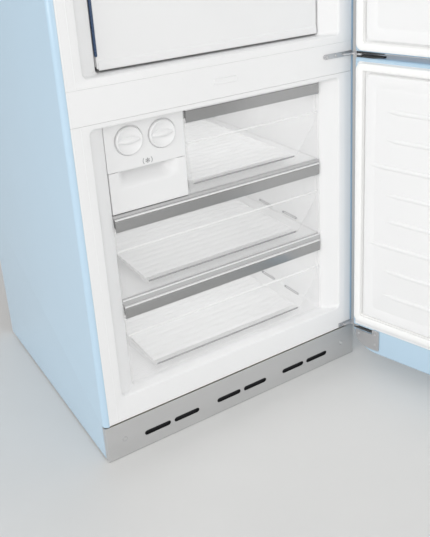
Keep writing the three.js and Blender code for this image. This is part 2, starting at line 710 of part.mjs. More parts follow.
function doorShell(size) {
  const window = box([-LINING_HALF, LINING_HALF], [DOOR_BACK - 10, 5], size.lining);
  return cut(doorForm(size, 0), doorForm(size, SHEET), window, ...doorCuts(size));
}

function doorFoam(size) {
  const window = box([-HALF, HALF], [DOOR_BACK - SKIN - GAP, 5], [size.bottom + 5, size.top - 5]);
  return cut(doorForm(size, SHEET + GAP), window, ...doorCuts(size));
}

// Lining with a raised middle, hollow on the foam side.
function doorLining(size, ...extras) {
  const plateEdge = LINING_HALF - GAP;
  const [low, high] = size.lining;
  const plate = box([-plateEdge, plateEdge], [DOOR_BACK - SKIN, DOOR_BACK], [low + GAP, high - GAP]);
  const raised = (inset, back, face) => loft([2, 0].map((spread, i) => ({
    points: outline(rectangle(
      [-PANEL_HALF + inset - spread, PANEL_HALF - inset + spread],
      [size.panel[0] + inset - spread, size.panel[1] - inset + spread],
      14,
    ), 4),
    y: i === 0 ? back : face,
  })));
  const hollow = raised(SKIN, DOOR_BACK - SKIN - 1, PANEL_FACE - SKIN);
  return join(cut(join(plate, raised(0, DOOR_BACK - 1, PANEL_FACE)), hollow), ...extras);
}

// Low rounded ribs across the freezer door's lining.
function liningRibs() {
  const rib = (half, z) => {
    const face = PANEL_FACE - 0.5;
    const side = outline([[face, z - 6], [PANEL_FACE + 2.2, z - 3], [PANEL_FACE + 2.2, z + 3], [face, z + 6]]);
    return alongX(side, [-half, half]);
  };
  const ribs = [];
  const [first, pitch] = [224, 65.8];
  for (let k = 0; k < 8; k += 1) {
    const long = k % 3 === 2;
    ribs.push(rib(long ? 306 : 262, first + k * pitch));
  }
  return ribs;
}

function liningDykes() {
  const plan = outline([
    [240, PANEL_FACE - 1], [258, PANEL_FACE - 1], [256, 50, 6], [242, 50, 6],
  ], 3);
  const right = alongZ(plan, [1080, 1900]);
  return [right, mirrored(right)];
}

function doorSeal(size) {
  const ring = (inset) => {
    const half = PANEL_HALF + 6 + SEAL_WIDTH - inset;
    const [low, high] = [size.panel[0] - 5 - SEAL_WIDTH + inset, size.panel[1] + 5 + SEAL_WIDTH - inset];
    return outline(rectangle([-half, half], [low, high], Math.max(16 - inset, 4)), 3);
  };
  const outer = alongY(ring(0), [DOOR_BACK + GAP, -0.5]);
  return cut(outer, alongY(ring(SEAL_WIDTH), [DOOR_BACK - 1, 1]));
}

function handle(size, [z0, z1]) {
  const bend = [[-80, 0], [-110, 2], [HANDLE_REACH + 6, 22], [HANDLE_REACH, 70]];
  const path = new THREE.CatmullRomCurve3([
    ...bend.map(([y, rise]) => new THREE.Vector3(HANDLE_X, y, z0 + rise)),
    ...bend.reverse().map(([y, rise]) => new THREE.Vector3(HANDLE_X, y, z1 - rise)),
  ]);
  const section = new THREE.Shape();
  section.absellipse(0, 0, 7, 11, 0, 2 * Math.PI);
  const bar = new THREE.ExtrudeGeometry(section, { steps: 16, curveSegments: 4, extrudePath: path });
  return cut(solid(bar), doorForm(size, -GAP));
}

function hingePlate() {
  const right = HINGE.x - 2;
  const corner = outline([
    [274, 52, 4], [right, 52, 40], [right, 95.4, 2],
    [HINGE.x - 51, 95.4], [HINGE.x - 51, 109], [274, 109, 4],
  ], 4);
  return alongY(corner, [DOOR_BACK + GAP, DOOR_BACK + 2.8]);
}

function doorBin({ heights: [z0, z1], reach }) {
  const plan = (inset) => {
    const [edge, near, far] = [BIN_HALF - inset, PANEL_FACE + 0.5 + inset, reach - inset];
    return outline([[-edge, near], [edge, near], [edge, far, 24 - inset], [-edge, far, 24 - inset]]);
  };
  return cut(alongZ(plan(0), [z0, z1]), alongZ(plan(WALL), [z0 + 3, z1 + 1]));
}

// ---- Assembly -----------------------------------------------------------------------------------
const fridge = new THREE.Group();
fridge.position.set(0, -DEPTH / 2, PAN_THICK - PAN_TOP);

addPart(fridge, "cabinet_shell", cabinetShell(), FINISH.blue);
addPart(fridge, "cabinet_foam", cabinetFoam(), FINISH.foam);
addPart(fridge, "back_panel", backPanel(), FINISH.zinc);
addPart(fridge, "rear_cover", rearCover(), FINISH.black);
addPart(fridge, "freezer_liner", freezerLiner(), FINISH.white);
addPart(fridge, "fridge_liner", fridgeLiner(), FINISH.white);
addPart(fridge, "mullion_cover", mullionCover(), FINISH.white);
addPart(fridge, "mullion_plate", mullionPlate(), FINISH.white);
addPart(fridge, "kick_plate", kickPlate(), FINISH.steel);
addPart(fridge, "base_pan", basePan(), FINISH.zinc);
addPart(fridge, "base_rail_right", rightRail(), FINISH.zinc);
addPart(fridge, "base_rail_left", mirrored(rightRail()), FINISH.zinc);
addPart(fridge, "foot_right", rightFoot(), FINISH.black);
addPart(fridge, "foot_left", mirrored(rightFoot()), FINISH.black);
addPart(fridge, "roller_right", rightRoller(), FINISH.black);
addPart(fridge, "roller_left", mirrored(rightRoller()), FINISH.black);
addPart(fridge, "compressor", compressor(), FINISH.black);
addPart(fridge, "condenser", condenser(), FINISH.zinc);

addPart(fridge, "freezer_duct_cover", freezerDuctCover(), FINISH.white);
addPart(fridge, "evaporator", evaporator(), FINISH.zinc);
addPart(fridge, "evaporator_fan", evaporatorFan(), FINISH.black);
addPart(fridge, "bottom_drawer", fullDrawer(BOTTOM_DRAWER), FINISH.clear);
addPart(fridge, "bottom_drawer_trim", drawerTrim(BOTTOM_DRAWER, FULL), FINISH.trim);
addPart(fridge, "middle_drawer", fullDrawer(MIDDLE_DRAWER), FINISH.clear);
addPart(fridge, "middle_drawer_trim", drawerTrim(MIDDLE_DRAWER, FULL), FINISH.trim);
addPart(fridge, "top_drawer", clearDrawer(TOP_DRAWER, BESIDE_MODULE, [8, 59]), FINISH.clear);
addPart(fridge, "top_drawer_trim", drawerTrim(TOP_DRAWER, BESIDE_MODULE), FINISH.trim);
addPart(fridge, "freezer_shelf_lower", freezerShelf(SHELF_Z.lower, 29), FINISH.white);
addPart(fridge, "freezer_shelf_upper", freezerShelf(SHELF_Z.upper, 29), FINISH.white);
addPart(fridge, "ice_maker_body", iceMakerBody(), FINISH.white);
addPart(fridge, "ice_knob_left", iceKnob(-1), FINISH.white);
addPart(fridge, "ice_knob_right", iceKnob(1), FINISH.white);
addPart(fridge, "ice_tray_left", iceTray(-1), FINISH.white);
addPart(fridge, "ice_tray_right", iceTray(1), FINISH.white);
addPart(fridge, "ice_bin", iceBin(), FINISH.white);

addPart(fridge, "zone_drawer", zoneDrawer(), FINISH.white);
addPart(fridge, "zone_strip", zoneStrip(), FINISH.navy);
addPart(fridge, "crisper_drawer", crisperDrawer(), FINISH.clear);
addPart(fridge, "zone_shelf", glassShelf(GLASS_SHELF_Z[0], 36), FINISH.glass);
addPart(fridge, "crisper_shelf", glassShelf(GLASS_SHELF_Z[1]), FINISH.glass);
addPart(fridge, "glass_shelf_middle", glassShelf(GLASS_SHELF_Z[2]), FINISH.glass);
addPart(fridge, "glass_shelf_upper", glassShelf(GLASS_SHELF_Z[3]), FINISH.glass);
addPart(fridge, "control_box", controlBox(), FINISH.white);
addPart(fridge, "temperature_knob", temperatureKnob(), FINISH.white);

addPart(fridge, "bottom_hinge", bottomHinge(), FINISH.zinc);
addPart(fridge, "middle_hinge", middleHinge(), FINISH.zinc);
addPart(fridge, "top_hinge", topHinge(), FINISH.zinc);

// A group that turns about the hinge line, whose children are drawn with the door shut.
function doorGroup() {
  const swing = new THREE.Group();
  swing.position.set(HINGE.x, HINGE.y, 0);
  swing.rotation.z = HINGE.open;
  const shut = new THREE.Group();
  shut.position.set(-HINGE.x, -HINGE.y, 0);
  swing.add(shut);
  fridge.add(swing);
  return shut;
}

const freezerDoor = doorGroup();
const freezerSize = {
  ...FREEZER_DOOR,
  radii: [DOOR_CORNER, 6],
  pockets: [HINGE_Z.bottom],
  bores: [[90, 128], [HINGE_Z.middle - 27, FREEZER_DOOR.top + 5]],
};
addPart(freezerDoor, "freezer_door_shell", doorShell(freezerSize), FINISH.blue);
addPart(freezerDoor, "freezer_door_foam", doorFoam(freezerSize), FINISH.foam);
addPart(freezerDoor, "freezer_door_lining", doorLining(freezerSize, ...liningRibs()), FINISH.white);
addPart(freezerDoor, "freezer_door_seal", doorSeal(freezerSize), FINISH.rubber);
addPart(freezerDoor, "freezer_door_handle", handle(freezerSize, FREEZER_HANDLE), FINISH.chrome);
addPart(freezerDoor, "freezer_hinge_plate", hingePlate(), FINISH.zinc);

const fridgeDoor = doorGroup();
const fridgeSize = {
  ...FRIDGE_DOOR,
  radii: [6, DOOR_CORNER],
  pockets: [HINGE_Z.top],
  bores: [[FRIDGE_DOOR.bottom - 5, HINGE_Z.middle + 27], [1958, 2000]],
};
addPart(fridgeDoor, "fridge_door_shell", doorShell(fridgeSize), FINISH.blue);
addPart(fridgeDoor, "fridge_door_foam", doorFoam(fridgeSize), FINISH.foam);
addPart(fridgeDoor, "fridge_door_lining", doorLining(fridgeSize, ...liningDykes()), FINISH.white);
addPart(fridgeDoor, "fridge_door_seal", doorSeal(fridgeSize), FINISH.rubber);
addPart(fridgeDoor, "fridge_door_handle", handle(fridgeSize, FRIDGE_HANDLE), FINISH.chrome);
addPart(fridgeDoor, "bottle_bin", doorBin(BOTTLE_BIN), FINISH.clear);
addPart(fridgeDoor, "upper_door_bin", doorBin(UPPER_BIN), FINISH.clear);

export default fridge;
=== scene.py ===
import json
from math import cos, pi, radians, sin, sqrt

import bmesh
import bpy
from mathutils import Matrix, Vector


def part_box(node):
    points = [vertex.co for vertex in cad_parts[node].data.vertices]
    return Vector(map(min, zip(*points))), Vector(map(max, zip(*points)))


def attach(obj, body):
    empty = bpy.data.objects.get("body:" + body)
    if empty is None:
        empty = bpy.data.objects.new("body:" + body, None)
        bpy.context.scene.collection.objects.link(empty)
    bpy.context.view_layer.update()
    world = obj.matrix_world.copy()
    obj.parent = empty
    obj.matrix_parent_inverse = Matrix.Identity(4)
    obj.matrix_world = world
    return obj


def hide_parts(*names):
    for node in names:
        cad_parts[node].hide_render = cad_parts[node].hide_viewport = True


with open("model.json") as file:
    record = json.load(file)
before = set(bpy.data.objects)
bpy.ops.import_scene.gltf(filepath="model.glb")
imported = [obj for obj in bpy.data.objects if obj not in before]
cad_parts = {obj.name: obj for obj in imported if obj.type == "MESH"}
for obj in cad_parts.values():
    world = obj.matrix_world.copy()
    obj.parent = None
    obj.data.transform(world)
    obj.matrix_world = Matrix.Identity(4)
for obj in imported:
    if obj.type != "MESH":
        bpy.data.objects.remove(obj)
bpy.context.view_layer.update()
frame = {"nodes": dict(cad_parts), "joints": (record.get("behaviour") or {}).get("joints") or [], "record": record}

# ---- Frame ----
# Shapes are drawn in cabinet millimetres: X from the middle, Y from the front flange into the
# cabinet, Z from the floor. TO_ROW takes them to the row frame in metres.
MM = 0.001
ORIGIN = (0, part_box("cabinet_shell")[0].y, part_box("foot_left")[0].z)
TO_ROW = Matrix.Translation(ORIGIN) @ Matrix.Scale(MM, 4)
FROM_ROW = TO_ROW.inverted()
RECORD = frame["record"]
BODIES = RECORD["behaviour"]["bodies"]
BODY_OF = {node: body for body, nodes in BODIES.items() for node in nodes}
SLOT_OF = {part["node"]: part["material_slot"] for part in RECORD["subparts"]}
DOOR_BODIES = ("freezer_door", "fridge_door")

swing = next(joint for joint in frame["joints"] if joint["name"] == "freezer_door_swing")
HINGE = FROM_ROW @ Vector(swing["pos_m"])
OPEN_ANGLE = radians(-swing["range_deg"][0])
OPEN = Matrix.Translation(HINGE) @ Matrix.Rotation(OPEN_ANGLE, 4, "Z") @ Matrix.Translation(-HINGE)


def span(node):
    """A CAD node's (low, high) along X, Y and Z in cabinet millimetres; door nodes as if shut."""
    place = FROM_ROW
    if BODY_OF[node] in DOOR_BODIES:
        place = OPEN.inverted() @ FROM_ROW
    points = [place @ vertex.co for vertex in frame["nodes"][node].data.vertices]
    return [(min(p[i] for p in points), max(p[i] for p in points)) for i in range(3)]


# ---- Materials ----
LOOKS = {}
BROAD_GRAIN = 7
RELIEF_DEPTH = 0.0002
MIX_A, MIX_B, MIX_RESULT = 6, 7, 2  # the colour sockets of a Mix node


def surface(name, colour, roughness, grain, bump, metallic=0, mottle=0.03, spread=0.06,
            stretch=(1, 1, 1), coat=0, alpha=1, specular=0.5):
    """Adds a look: mottled colour (one number for a grey), uneven gloss and a fine relief."""
    colour = colour if isinstance(colour, tuple) else (colour, colour, colour)
    material = bpy.data.materials.new(name)
    material.use_nodes = True
    nodes = material.node_tree.nodes
    link = material.node_tree.links.new
    shader = nodes["Principled BSDF"]

    def set_inputs(node, values):
        for socket, value in values.items():
            node.inputs[socket].default_value = value
        return node

    set_inputs(shader, {"Metallic": metallic, "Specular IOR Level": specular, "Alpha": alpha,
                        "Coat Weight": coat, "Coat Roughness": 0.06})
    place = nodes.new("ShaderNodeTexCoord")
    mapping = set_inputs(nodes.new("ShaderNodeMapping"), {"Scale": stretch})
    link(place.outputs["Object"], mapping.inputs["Vector"])
    noise = []
    for scale, detail in ((BROAD_GRAIN, 3), (grain, 4)):
        node = set_inputs(nodes.new("ShaderNodeTexNoise"), {"Scale": scale, "Detail": detail})
        link(mapping.outputs["Vector"], node.inputs["Vector"])
        noise.append(node.outputs["Fac"])
    broad, fine = noise
    tint = nodes.new("ShaderNodeMix")
    tint.data_type = "RGBA"
    set_inputs(tint, {MIX_A: (*(c * (1 - mottle) for c in colour), 1),
                      MIX_B: (*(min(c * (1 + mottle), 1) for c in colour), 1)})
    link(broad, tint.inputs["Factor"])
    link(tint.outputs[MIX_RESULT], shader.inputs["Base Color"])
    gloss = set_inputs(nodes.new("ShaderNodeMapRange"),
                       {"To Min": max(roughness - spread, 0.01), "To Max": roughness + spread})
    link(fine, gloss.inputs["Value"])
    link(gloss.outputs["Result"], shader.inputs["Roughness"])
    relief = set_inputs(nodes.new("ShaderNodeBump"), {"Strength": bump, "Distance": RELIEF_DEPTH})
    link(fine, relief.inputs["Height"])
    link(relief.outputs["Normal"], shader.inputs["Normal"])
    LOOKS[name] = material


surface("blue_enamel", (0.50, 0.665, 0.80), 0.22, 160, 0.10, mottle=0.015, spread=0.04, coat=0.35)
surface("foam", (0.80, 0.70, 0.42), 0.9, 500, 0.5, mottle=0.10)
surface("zinc_steel", (0.55, 0.56, 0.57), 0.42, 90, 0.08, metallic=0.85, mottle=0.10, spread=0.10)
surface("black_sheet", (0.020, 0.020, 0.022), 0.55, 400, 0.15)
surface("liner_white", 0.88, 0.30, 220, 0.05, mottle=0.008)
surface("satin_steel", 0.63, 0.38, 120, 0.10, metallic=0.75, mottle=0.03, spread=0.07,
        stretch=(0.15, 4, 4))
surface("black_plastic", (0.022, 0.022, 0.024), 0.5, 600, 0.2)
surface("black_iron", (0.015, 0.015, 0.016), 0.35, 150, 0.15, coat=0.3)
surface("fin_metal", (0.74, 0.75, 0.76), 0.32, 200, 0.08, metallic=1, mottle=0.06)
surface("clear_plastic", 0.97, 0.10, 40, 0.01, mottle=0.01, spread=0.03, alpha=0.11)
surface("silver_trim", 0.40, 0.22, 260, 0.05, metallic=0.9, mottle=0.02, stretch=(0.2, 3, 3))
surface("shelf_white", 0.84, 0.32, 240, 0.06, mottle=0.01)
surface("module_white", 0.86, 0.38, 700, 0.10, mottle=0.008)
surface("navy_trim", (0.022, 0.055, 0.13), 0.28, 300, 0.04)
surface("shelf_glass", (0.78, 0.90, 0.87), 0.06, 30, 0.01, spread=0.02, alpha=0.22)
surface("hinge_steel", (0.56, 0.56, 0.57), 0.33, 250, 0.10, metallic=0.8, mottle=0.08)
surface("seal_rubber", (0.94, 0.94, 0.93), 0.55, 800, 0.10, mottle=0.015)
surface("chrome", (0.80, 0.81, 0.82), 0.08, 20, 0.01, metallic=1, spread=0.03)
surface("frosted_rib", 0.92, 0.5, 60, 0, mottle=0.01, alpha=0.55, specular=0.2)
# Painted highlight: near-white and more opaque than the clear plastic, for the light line along a drawer's moulded
# crease.
surface("crease_painted_highlight", 0.98, 0.2, 60, 0.02, mottle=0.01, alpha=0.6)
# Painted shade: a dark grey stand-in for the shade in the drawer slots and in the groove at the front of a
# drawer's floor.
surface("dark_painted_shade", (0.16, 0.16, 0.17), 0.35, 200, 0.05, alpha=0.75)
surface("copper_pipe", (0.60, 0.26, 0.13), 0.35, 150, 0.08, metallic=1, mottle=0.12)
surface("lamp_lens", (0.95, 0.94, 0.90), 0.30, 500, 0.3, alpha=0.7)
# Painted shade: a darker grey copy of the shelf white, for shelf edges that sit in shade.
surface("shelf_edge_painted_shade", 0.50, 0.35, 240, 0.06, mottle=0.02)
surface("grey_print", (0.20, 0.20, 0.21), 0.5, 500, 0.02)


# ---- Outlines ----
LEAST_RADIUS = 0.02


def middle(ends):
    return (ends[0] + ends[1]) / 2


def grown(ends, by):
    """A (low, high) pair moved outwards at both ends, or inwards if by is negative."""
    return ends[0] - by, ends[1] + by


def quarter(steps):
    """Sine and cosine at even steps over a quarter turn."""
    angles = [pi / 2 * k / steps for k in range(steps + 1)]
    return [(sin(a), max(cos(a), 0)) for a in angles]


def arc(centre, radius, start, end, steps):
    """Points on an arc, angles in degrees."""
    angles = [radians(start + (end - start) * k / steps) for k in range(steps + 1)]
    return [(centre[0] + radius * cos(a), centre[1] + radius * sin(a)) for a in angles]


def rectangle(a, b):
    return [(a[0], b[0]), (a[1], b[0]), (a[1], b[1]), (a[0], b[1])]


def rounded(a, b, lower, upper=None, steps=8):
    """An upright rectangle with rounded corners, always with the same number of points."""
    upper = lower if upper is None else upper
    points = []
    corners = zip(rectangle(a, b), (lower, lower, upper, upper), (180, 270, 0, 90))
    for (u, v), radius, start in corners:
        radius = max(radius, LEAST_RADIUS)
        inward = (u + radius if u == a[0] else u - radius, v + radius if v == b[0] else v - radius)
        points += arc(inward, radius, start, start + 90, steps)
    return points


def moved(points, a, b):
    return [(a + u, b + v) for u, v in points]


def in_xz(points, y):
    return [(a, y, b) for a, b in points]


def in_xy(points, z):
    return [(a, b, z) for a, b in points]


def inset_ring(x, z, inset, radius, y, steps=8):
    """A rounded rectangle facing the front, drawn in from the spans x and z."""
    return in_xz(rounded(grown(x, -inset), grown(z, -inset), radius, steps=steps), y)


def lay(axis, a, b, along):
    """A point with a and b across an axis, and its third measure along it."""
    return Vector({"x": (along, a, b), "y": (a, along, b), "z": (a, b, along)}[axis])


def smooth_path(points, steps=8):
    """A curve through points, without overshoot at its ends."""
    points = [Vector(p) for p in points]
    ends = [points[0] * 2 - points[1], *points, points[-1] * 2 - points[-2]]
    path = []
    for p0, p1, p2, p3 in zip(ends, ends[1:], ends[2:], ends[3:]):
        for k in range(steps):
            t = k / steps
            path.append(0.5 * (2 * p1 + (p2 - p0) * t + (2 * p0 - 5 * p1 + 4 * p2 - p3) * t * t
                               + (3 * p1 - p0 - 3 * p2 + p3) * t ** 3))
    return path + [points[-1]]


# ---- Pieces ----
MERGE = 0.01  # millimetres
NODE_MERGE = 0.00002  # metres, for meshes that come from the CAD
FLAT_ANGLE = radians(0.8)
BEVEL_ANGLE = radians(25)
HOLE_SIDES = 32


class Shape:
    """Closed bodies in cabinet millimetres, gathered into one piece."""

    def __init__(self):
        self.mesh = bmesh.new()

    def skin(self, rings, loop=False):
        """A skin over rings of points, capped at both ends; loop joins the last ring to the first."""
        rows = [[self.mesh.verts.new(p) for p in ring] for ring in rings]
        pairs = list(zip(rows, rows[1:])) + ([(rows[-1], rows[0])] if loop else [])
        for low, high in pairs:
            for k in range(len(low)):
                n = (k + 1) % len(low)
                self.mesh.faces.new((low[k], low[n], high[n], high[k]))
        if not loop:
            self.mesh.faces.new(rows[0][::-1])
            self.mesh.faces.new(rows[-1])
        return self

    def prism(self, points, axis, ends):
        """An outline in YZ, XZ or XY, extruded along the third axis."""
        return self.skin([[lay(axis, a, b, end) for a, b in points] for end in ends])

    def box(self, x, y, z):
        return self.prism(rectangle(x, y), "z", z)

    def turned(self, profile, axis, centre, sides=48, stretch=(1, 1)):
        """A turned body: profile points (radius, distance) about an axis through centre."""
        rings = []
        for radius, along in profile:
            ring = []
            for k in range(sides):
                angle = 2 * pi * k / sides
                a = max(radius, 0.01) * cos(angle) * stretch[0]
                b = max(radius, 0.01) * sin(angle) * stretch[1]
                ring.append(Vector(centre) + lay(axis, a, b, along))
            rings.append(ring)
        return self.skin(rings)

    def pierced(self, plan, z, hole, radius):
        """A flat plate with a convex plan and one round hole."""
        centre = Vector(hole)
        inner, outer = [], []
        for k in range(HOLE_SIDES):
            angle = 2 * pi * k / HOLE_SIDES
            way = Vector((cos(angle), sin(angle)))
            reach = []
            for a, b in zip(plan, plan[1:] + plan[:1]):
                edge = Vector(b) - Vector(a)
                across = way.cross(edge)
                if abs(across) > 1e-6:
                    along = (Vector(a) - centre).cross(edge) / across
                    reach.append(along if along > 0 else 1e9)
            inner.append(centre + way * radius)
            outer.append(centre + way * min(reach))
        rings = [in_xy(inner, z[0]), in_xy(outer, z[0]), in_xy(outer, z[1]), in_xy(inner, z[1])]
        return self.skin(rings, loop=True)

    def tube(self, path, width, height=None, sides=16):
        """A round or oval bar along a path; height is measured towards Z, or towards Y."""
        height = width if height is None else height
        rings = []
        side = None
        for k, point in enumerate(path):
            ahead = (path[min(k + 1, len(path) - 1)] - path[max(k - 1, 0)]).normalized()
            if side is None:
                other = Vector((1, 0, 0)) if abs(ahead.x) < 0.9 else Vector((0, 1, 0))
                side = ahead.cross(other).normalized()
            side = (side - ahead * side.dot(ahead)).normalized()
            across = ahead.cross(side)
            rings.append([point + side * (height * cos(2 * pi * s / sides))
                          + across * (width * sin(2 * pi * s / sides)) for s in range(sides)])
        return self.skin(rings)

    def piece(self, name, slot, body="cabinet", replaces=(), look=None, **finish):
        """Makes the Blender object, riding on its body; its look is its slot's, or the one named."""
        bmesh.ops.remove_doubles(self.mesh, verts=self.mesh.verts, dist=MERGE)
        bmesh.ops.recalc_face_normals(self.mesh, faces=self.mesh.faces)
        place = TO_ROW @ OPEN if body in DOOR_BODIES else TO_ROW
        finished(self.mesh, place, name, LOOKS[look or slot], body, slot, replaces, **finish)

    def stand_in(self, name, node, **finish):
        """Makes the piece that stands for a CAD node, on the node's body and with its slot's look."""
        self.piece(name, SLOT_OF[node], BODY_OF[node], [node], **finish)


def strip(name, slot, section, x, **finish):
    """A piece with one profile in YZ, running along X."""
    Shape().prism(section, "x", x).piece(name, slot, **finish)


def screws(name, slot, spots, out, radius, **finish):
    """Pan heads with a recess, standing out along Y by the sign of out."""
    dome = [(0, -1), (1, -1), (1, 0.6), (0.86, 1.5), (0.5, 2), (0.42, 2), (0.2, 0.9), (0, 0.9)]
    heads = Shape()
    for spot in spots:
        heads.turned([(radius * r, out * h) for r, h in dome], "y", spot, 24)
    heads.piece(name, slot, **finish)


def add_object(name, data):
    thing = bpy.data.objects.new(name, data)
    bpy.context.scene.collection.objects.link(thing)
    return thing


def placed(mesh, place, name):
    """Turns a bmesh into an object of the scene and frees it."""
    mesh.transform(place)
    data = bpy.data.meshes.new(name)
    mesh.to_mesh(data)
    mesh.free()
    return add_object(name, data)


def modify(piece, kind, **settings):
    modifier = piece.modifiers.new(kind, kind)
    for name, value in settings.items():
        setattr(modifier, name, value)


def settle(piece):
    """Applies the piece's modifiers to its mesh."""
    bpy.context.view_layer.update()
    evaluated = piece.evaluated_get(bpy.context.evaluated_depsgraph_get())
    result = bpy.data.meshes.new_from_object(evaluated)
    piece.modifiers.clear()
    old = piece.data
    piece.data = result
    bpy.data.meshes.remove(old)


def finished(mesh, place, name, look, body, slot, replaces,
             bevel=0, segments=2, sharp=35, carve=()):
    """Rounds the edges of a mesh, carves it, smooths its shading, hangs it on its body's empty and hides the CAD
    nodes it replaces.
    """
    for cutter in carve:
        bmesh.ops.recalc_face_normals(cutter.mesh, faces=cutter.mesh.faces)
    piece = placed(mesh, place, name)
    piece.data.materials.append(look)
    if bevel:
        modify(piece, "BEVEL", width=bevel * MM, segments=segments, limit_method="ANGLE",
               angle_limit=BEVEL_ANGLE, miter_outer="MITER_ARC", use_clamp_overlap=True)
        settle(piece)
    for cutter in carve:
        tool = placed(cutter.mesh, place, "cutter")
        modify(piece, "BOOLEAN", operation="DIFFERENCE", solver="EXACT", object=tool)
        settle(piece)
        bpy.data.objects.remove(tool)
    piece.data.shade_smooth()
    piece.data.set_sharp_from_angle(angle=radians(sharp))
    if bevel:
        modify(piece, "WEIGHTED_NORMAL", keep_sharp=True)
    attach(piece, body)
    if replaces:
        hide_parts(*replaces)


def refined(*nodes, bevel=0.6, segments=2):
    """Copies of CAD nodes with flat faces joined and edges rounded, standing for the nodes."""
    for node in nodes:
        mesh = bmesh.new()
        mesh.from_mesh(frame["nodes"][node].data)
        bmesh.ops.remove_doubles(mesh, verts=mesh.verts, dist=NODE_MERGE)
        bmesh.ops.dissolve_limit(mesh, angle_limit=FLAT_ANGLE, verts=mesh.verts, edges=mesh.edges)
        bmesh.ops.triangulate(mesh, faces=[face for face in mesh.faces if len(face.verts) > 4])
        slot = SLOT_OF[node]
        finished(mesh, Matrix.Identity(4), f"{node}_fine", LOOKS[slot], BODY_OF[node], slot,
                 (node,), bevel, segments)


# ---- Cabinet ----
(_, HALF), (_, DEPTH), (SHELL_BOTTOM, HEIGHT) = span("cabinet_shell")
FLANGE_HALF = span("mullion_cover")[0][1]
EDGE_RADIUS = HALF - FLANGE_HALF - 0.3
TOP_RADIUS = 75
SHEET = 1.5
_, (_, KICK_DEPTH), (_, KICK_TOP) = span("kick_plate")
LINER_WALL = 2.4
LINER_BACK = 600
LINER_CORNER = 8
FREEZER_MOUTH, FREEZER_INSIDE = (303, 152, 749), (268, 152, 747)  # half width, bottom, top
FRIDGE_MOUTH, FRIDGE_INSIDE = (303, 847, 1950), (268, 847, 1946)
FREEZER_STEP = (385, 345)  # depth and height of the step over the machine compartment
MOUTH_ROLL = 4
FLARE_DEPTH = 28
STEP_FOOT, STEP_EDGE = 12, 10
BACK_FILLET = 18
RUNNER_X, RUNNER_HALF = 268.5, 3.2
SHELF_THICKNESS = 12  # thinner nodes are shelves, and rest on their runners


def cabinet_skin():
    """The steel shell: a profile with a rolled front edge, swept up one side, over and down."""
    roll = (EDGE_RADIUS, EDGE_RADIUS)
    profile = [*arc(roll, EDGE_RADIUS, 270, 180, 10), (0, DEPTH), (SHEET, DEPTH),
               *arc(roll, EDGE_RADIUS - SHEET, 180, 270, 10)]
    shoulder = HEIGHT - TOP_RADIUS
    rings = []
    for side in (-1, 1):
        half = [[(side * (HALF - inset), y, z) for inset, y in profile]
                for z in (SHELL_BOTTOM, 400, 1200)]
        half += [[(side * (HALF - TOP_RADIUS + (TOP_RADIUS - inset) * c), y,
                   shoulder + (TOP_RADIUS - inset) * s) for inset, y in profile]
                 for s, c in quarter(18)]
        rings += half if side < 0 else half[::-1]
    notch = Shape().box((-HALF - 5, HALF + 5), (-5, KICK_DEPTH + 0.5), (0, KICK_TOP + 2))
    Shape().skin(rings).stand_in("cabinet_skin", "cabinet_shell", carve=[notch])


def compartment_sizes(mouth, inside, step=None):
    """Half width, bottom, top, corner and depth of rings from a mouth to the back wall."""
    half, bottom, top = mouth
    inner_half, floor, inner_top = inside
    sizes = []
    for s, c in quarter(4):
        out = MOUTH_ROLL * (1 - s)
        sizes.append((half + out, bottom - out, top + out, 10 + out, MOUTH_ROLL * (1 - c)))
    for k in range(1, 9):
        t = k / 8
        ease = t * t * (3 - 2 * t) * 0.35 + t * 0.65
        sizes.append((half + (inner_half - half) * ease, bottom, top + (inner_top - top) * ease,
                      10 - 2 * t, MOUTH_ROLL + (FLARE_DEPTH - MOUTH_ROLL) * t))
    path = [(floor, FLARE_DEPTH + 3)]
    if step:
        step_y, floor = step
        path += [(bottom + STEP_FOOT * (1 - c), step_y - STEP_FOOT * (1 - s)) for s, c in quarter(4)]
        path += [(floor - STEP_EDGE * (1 - s), step_y + STEP_EDGE * (1 - c) + 0.01)
                 for s, c in quarter(4)]
    sizes += [(inner_half, low, inner_top, LINER_CORNER, y) for low, y in path]
    for s, c in quarter(5):
        into = BACK_FILLET * (1 - c)
        sizes.append((inner_half - into, floor + into, inner_top - into, LINER_CORNER + into * 0.5,
                      LINER_BACK - BACK_FILLET * (1 - s)))
    return sizes


def liner(flange, mouth, inside, step=None, upper=0.5):
    """A thermoformed liner: flange, flared mouth and deep compartment in one skin."""
    sizes = compartment_sizes(mouth, inside, step)

    def ring(half, bottom, top, radius, y, wall=0):
        x, z = grown((-half, half), wall), grown((bottom, top), wall)
        return in_xz(rounded(x, z, radius + wall, steps=6), y + wall)

    inner = [ring(*size) for size in sizes]
    outer = [ring(*size, LINER_WALL) for size in sizes]
    half, bottom, top, radius, _ = sizes[0]
    outer[0] = ring(half + 0.5, bottom - 0.5, top + 0.5, radius, LINER_WALL)
    edge = [in_xz(rounded((-FLANGE_HALF, FLANGE_HALF), flange, 0.5, upper, 6), y)
            for y in (0, LINER_WALL)]
    return Shape().skin(inner[::-1] + edge + outer)


def runners(shape, nodes, y, drop=7):
    """Ledges on both side walls, under the rims of drawers or under shelves."""
    for node in nodes:
        low, high = span(node)[2]
        z = low - 0.4 if high - low < SHELF_THICKNESS else high - 5.6
        for side in (-1, 1):
            x = side * RUNNER_X
            shape.box((x - RUNNER_HALF, x + RUNNER_HALF), y, (z - drop, z))


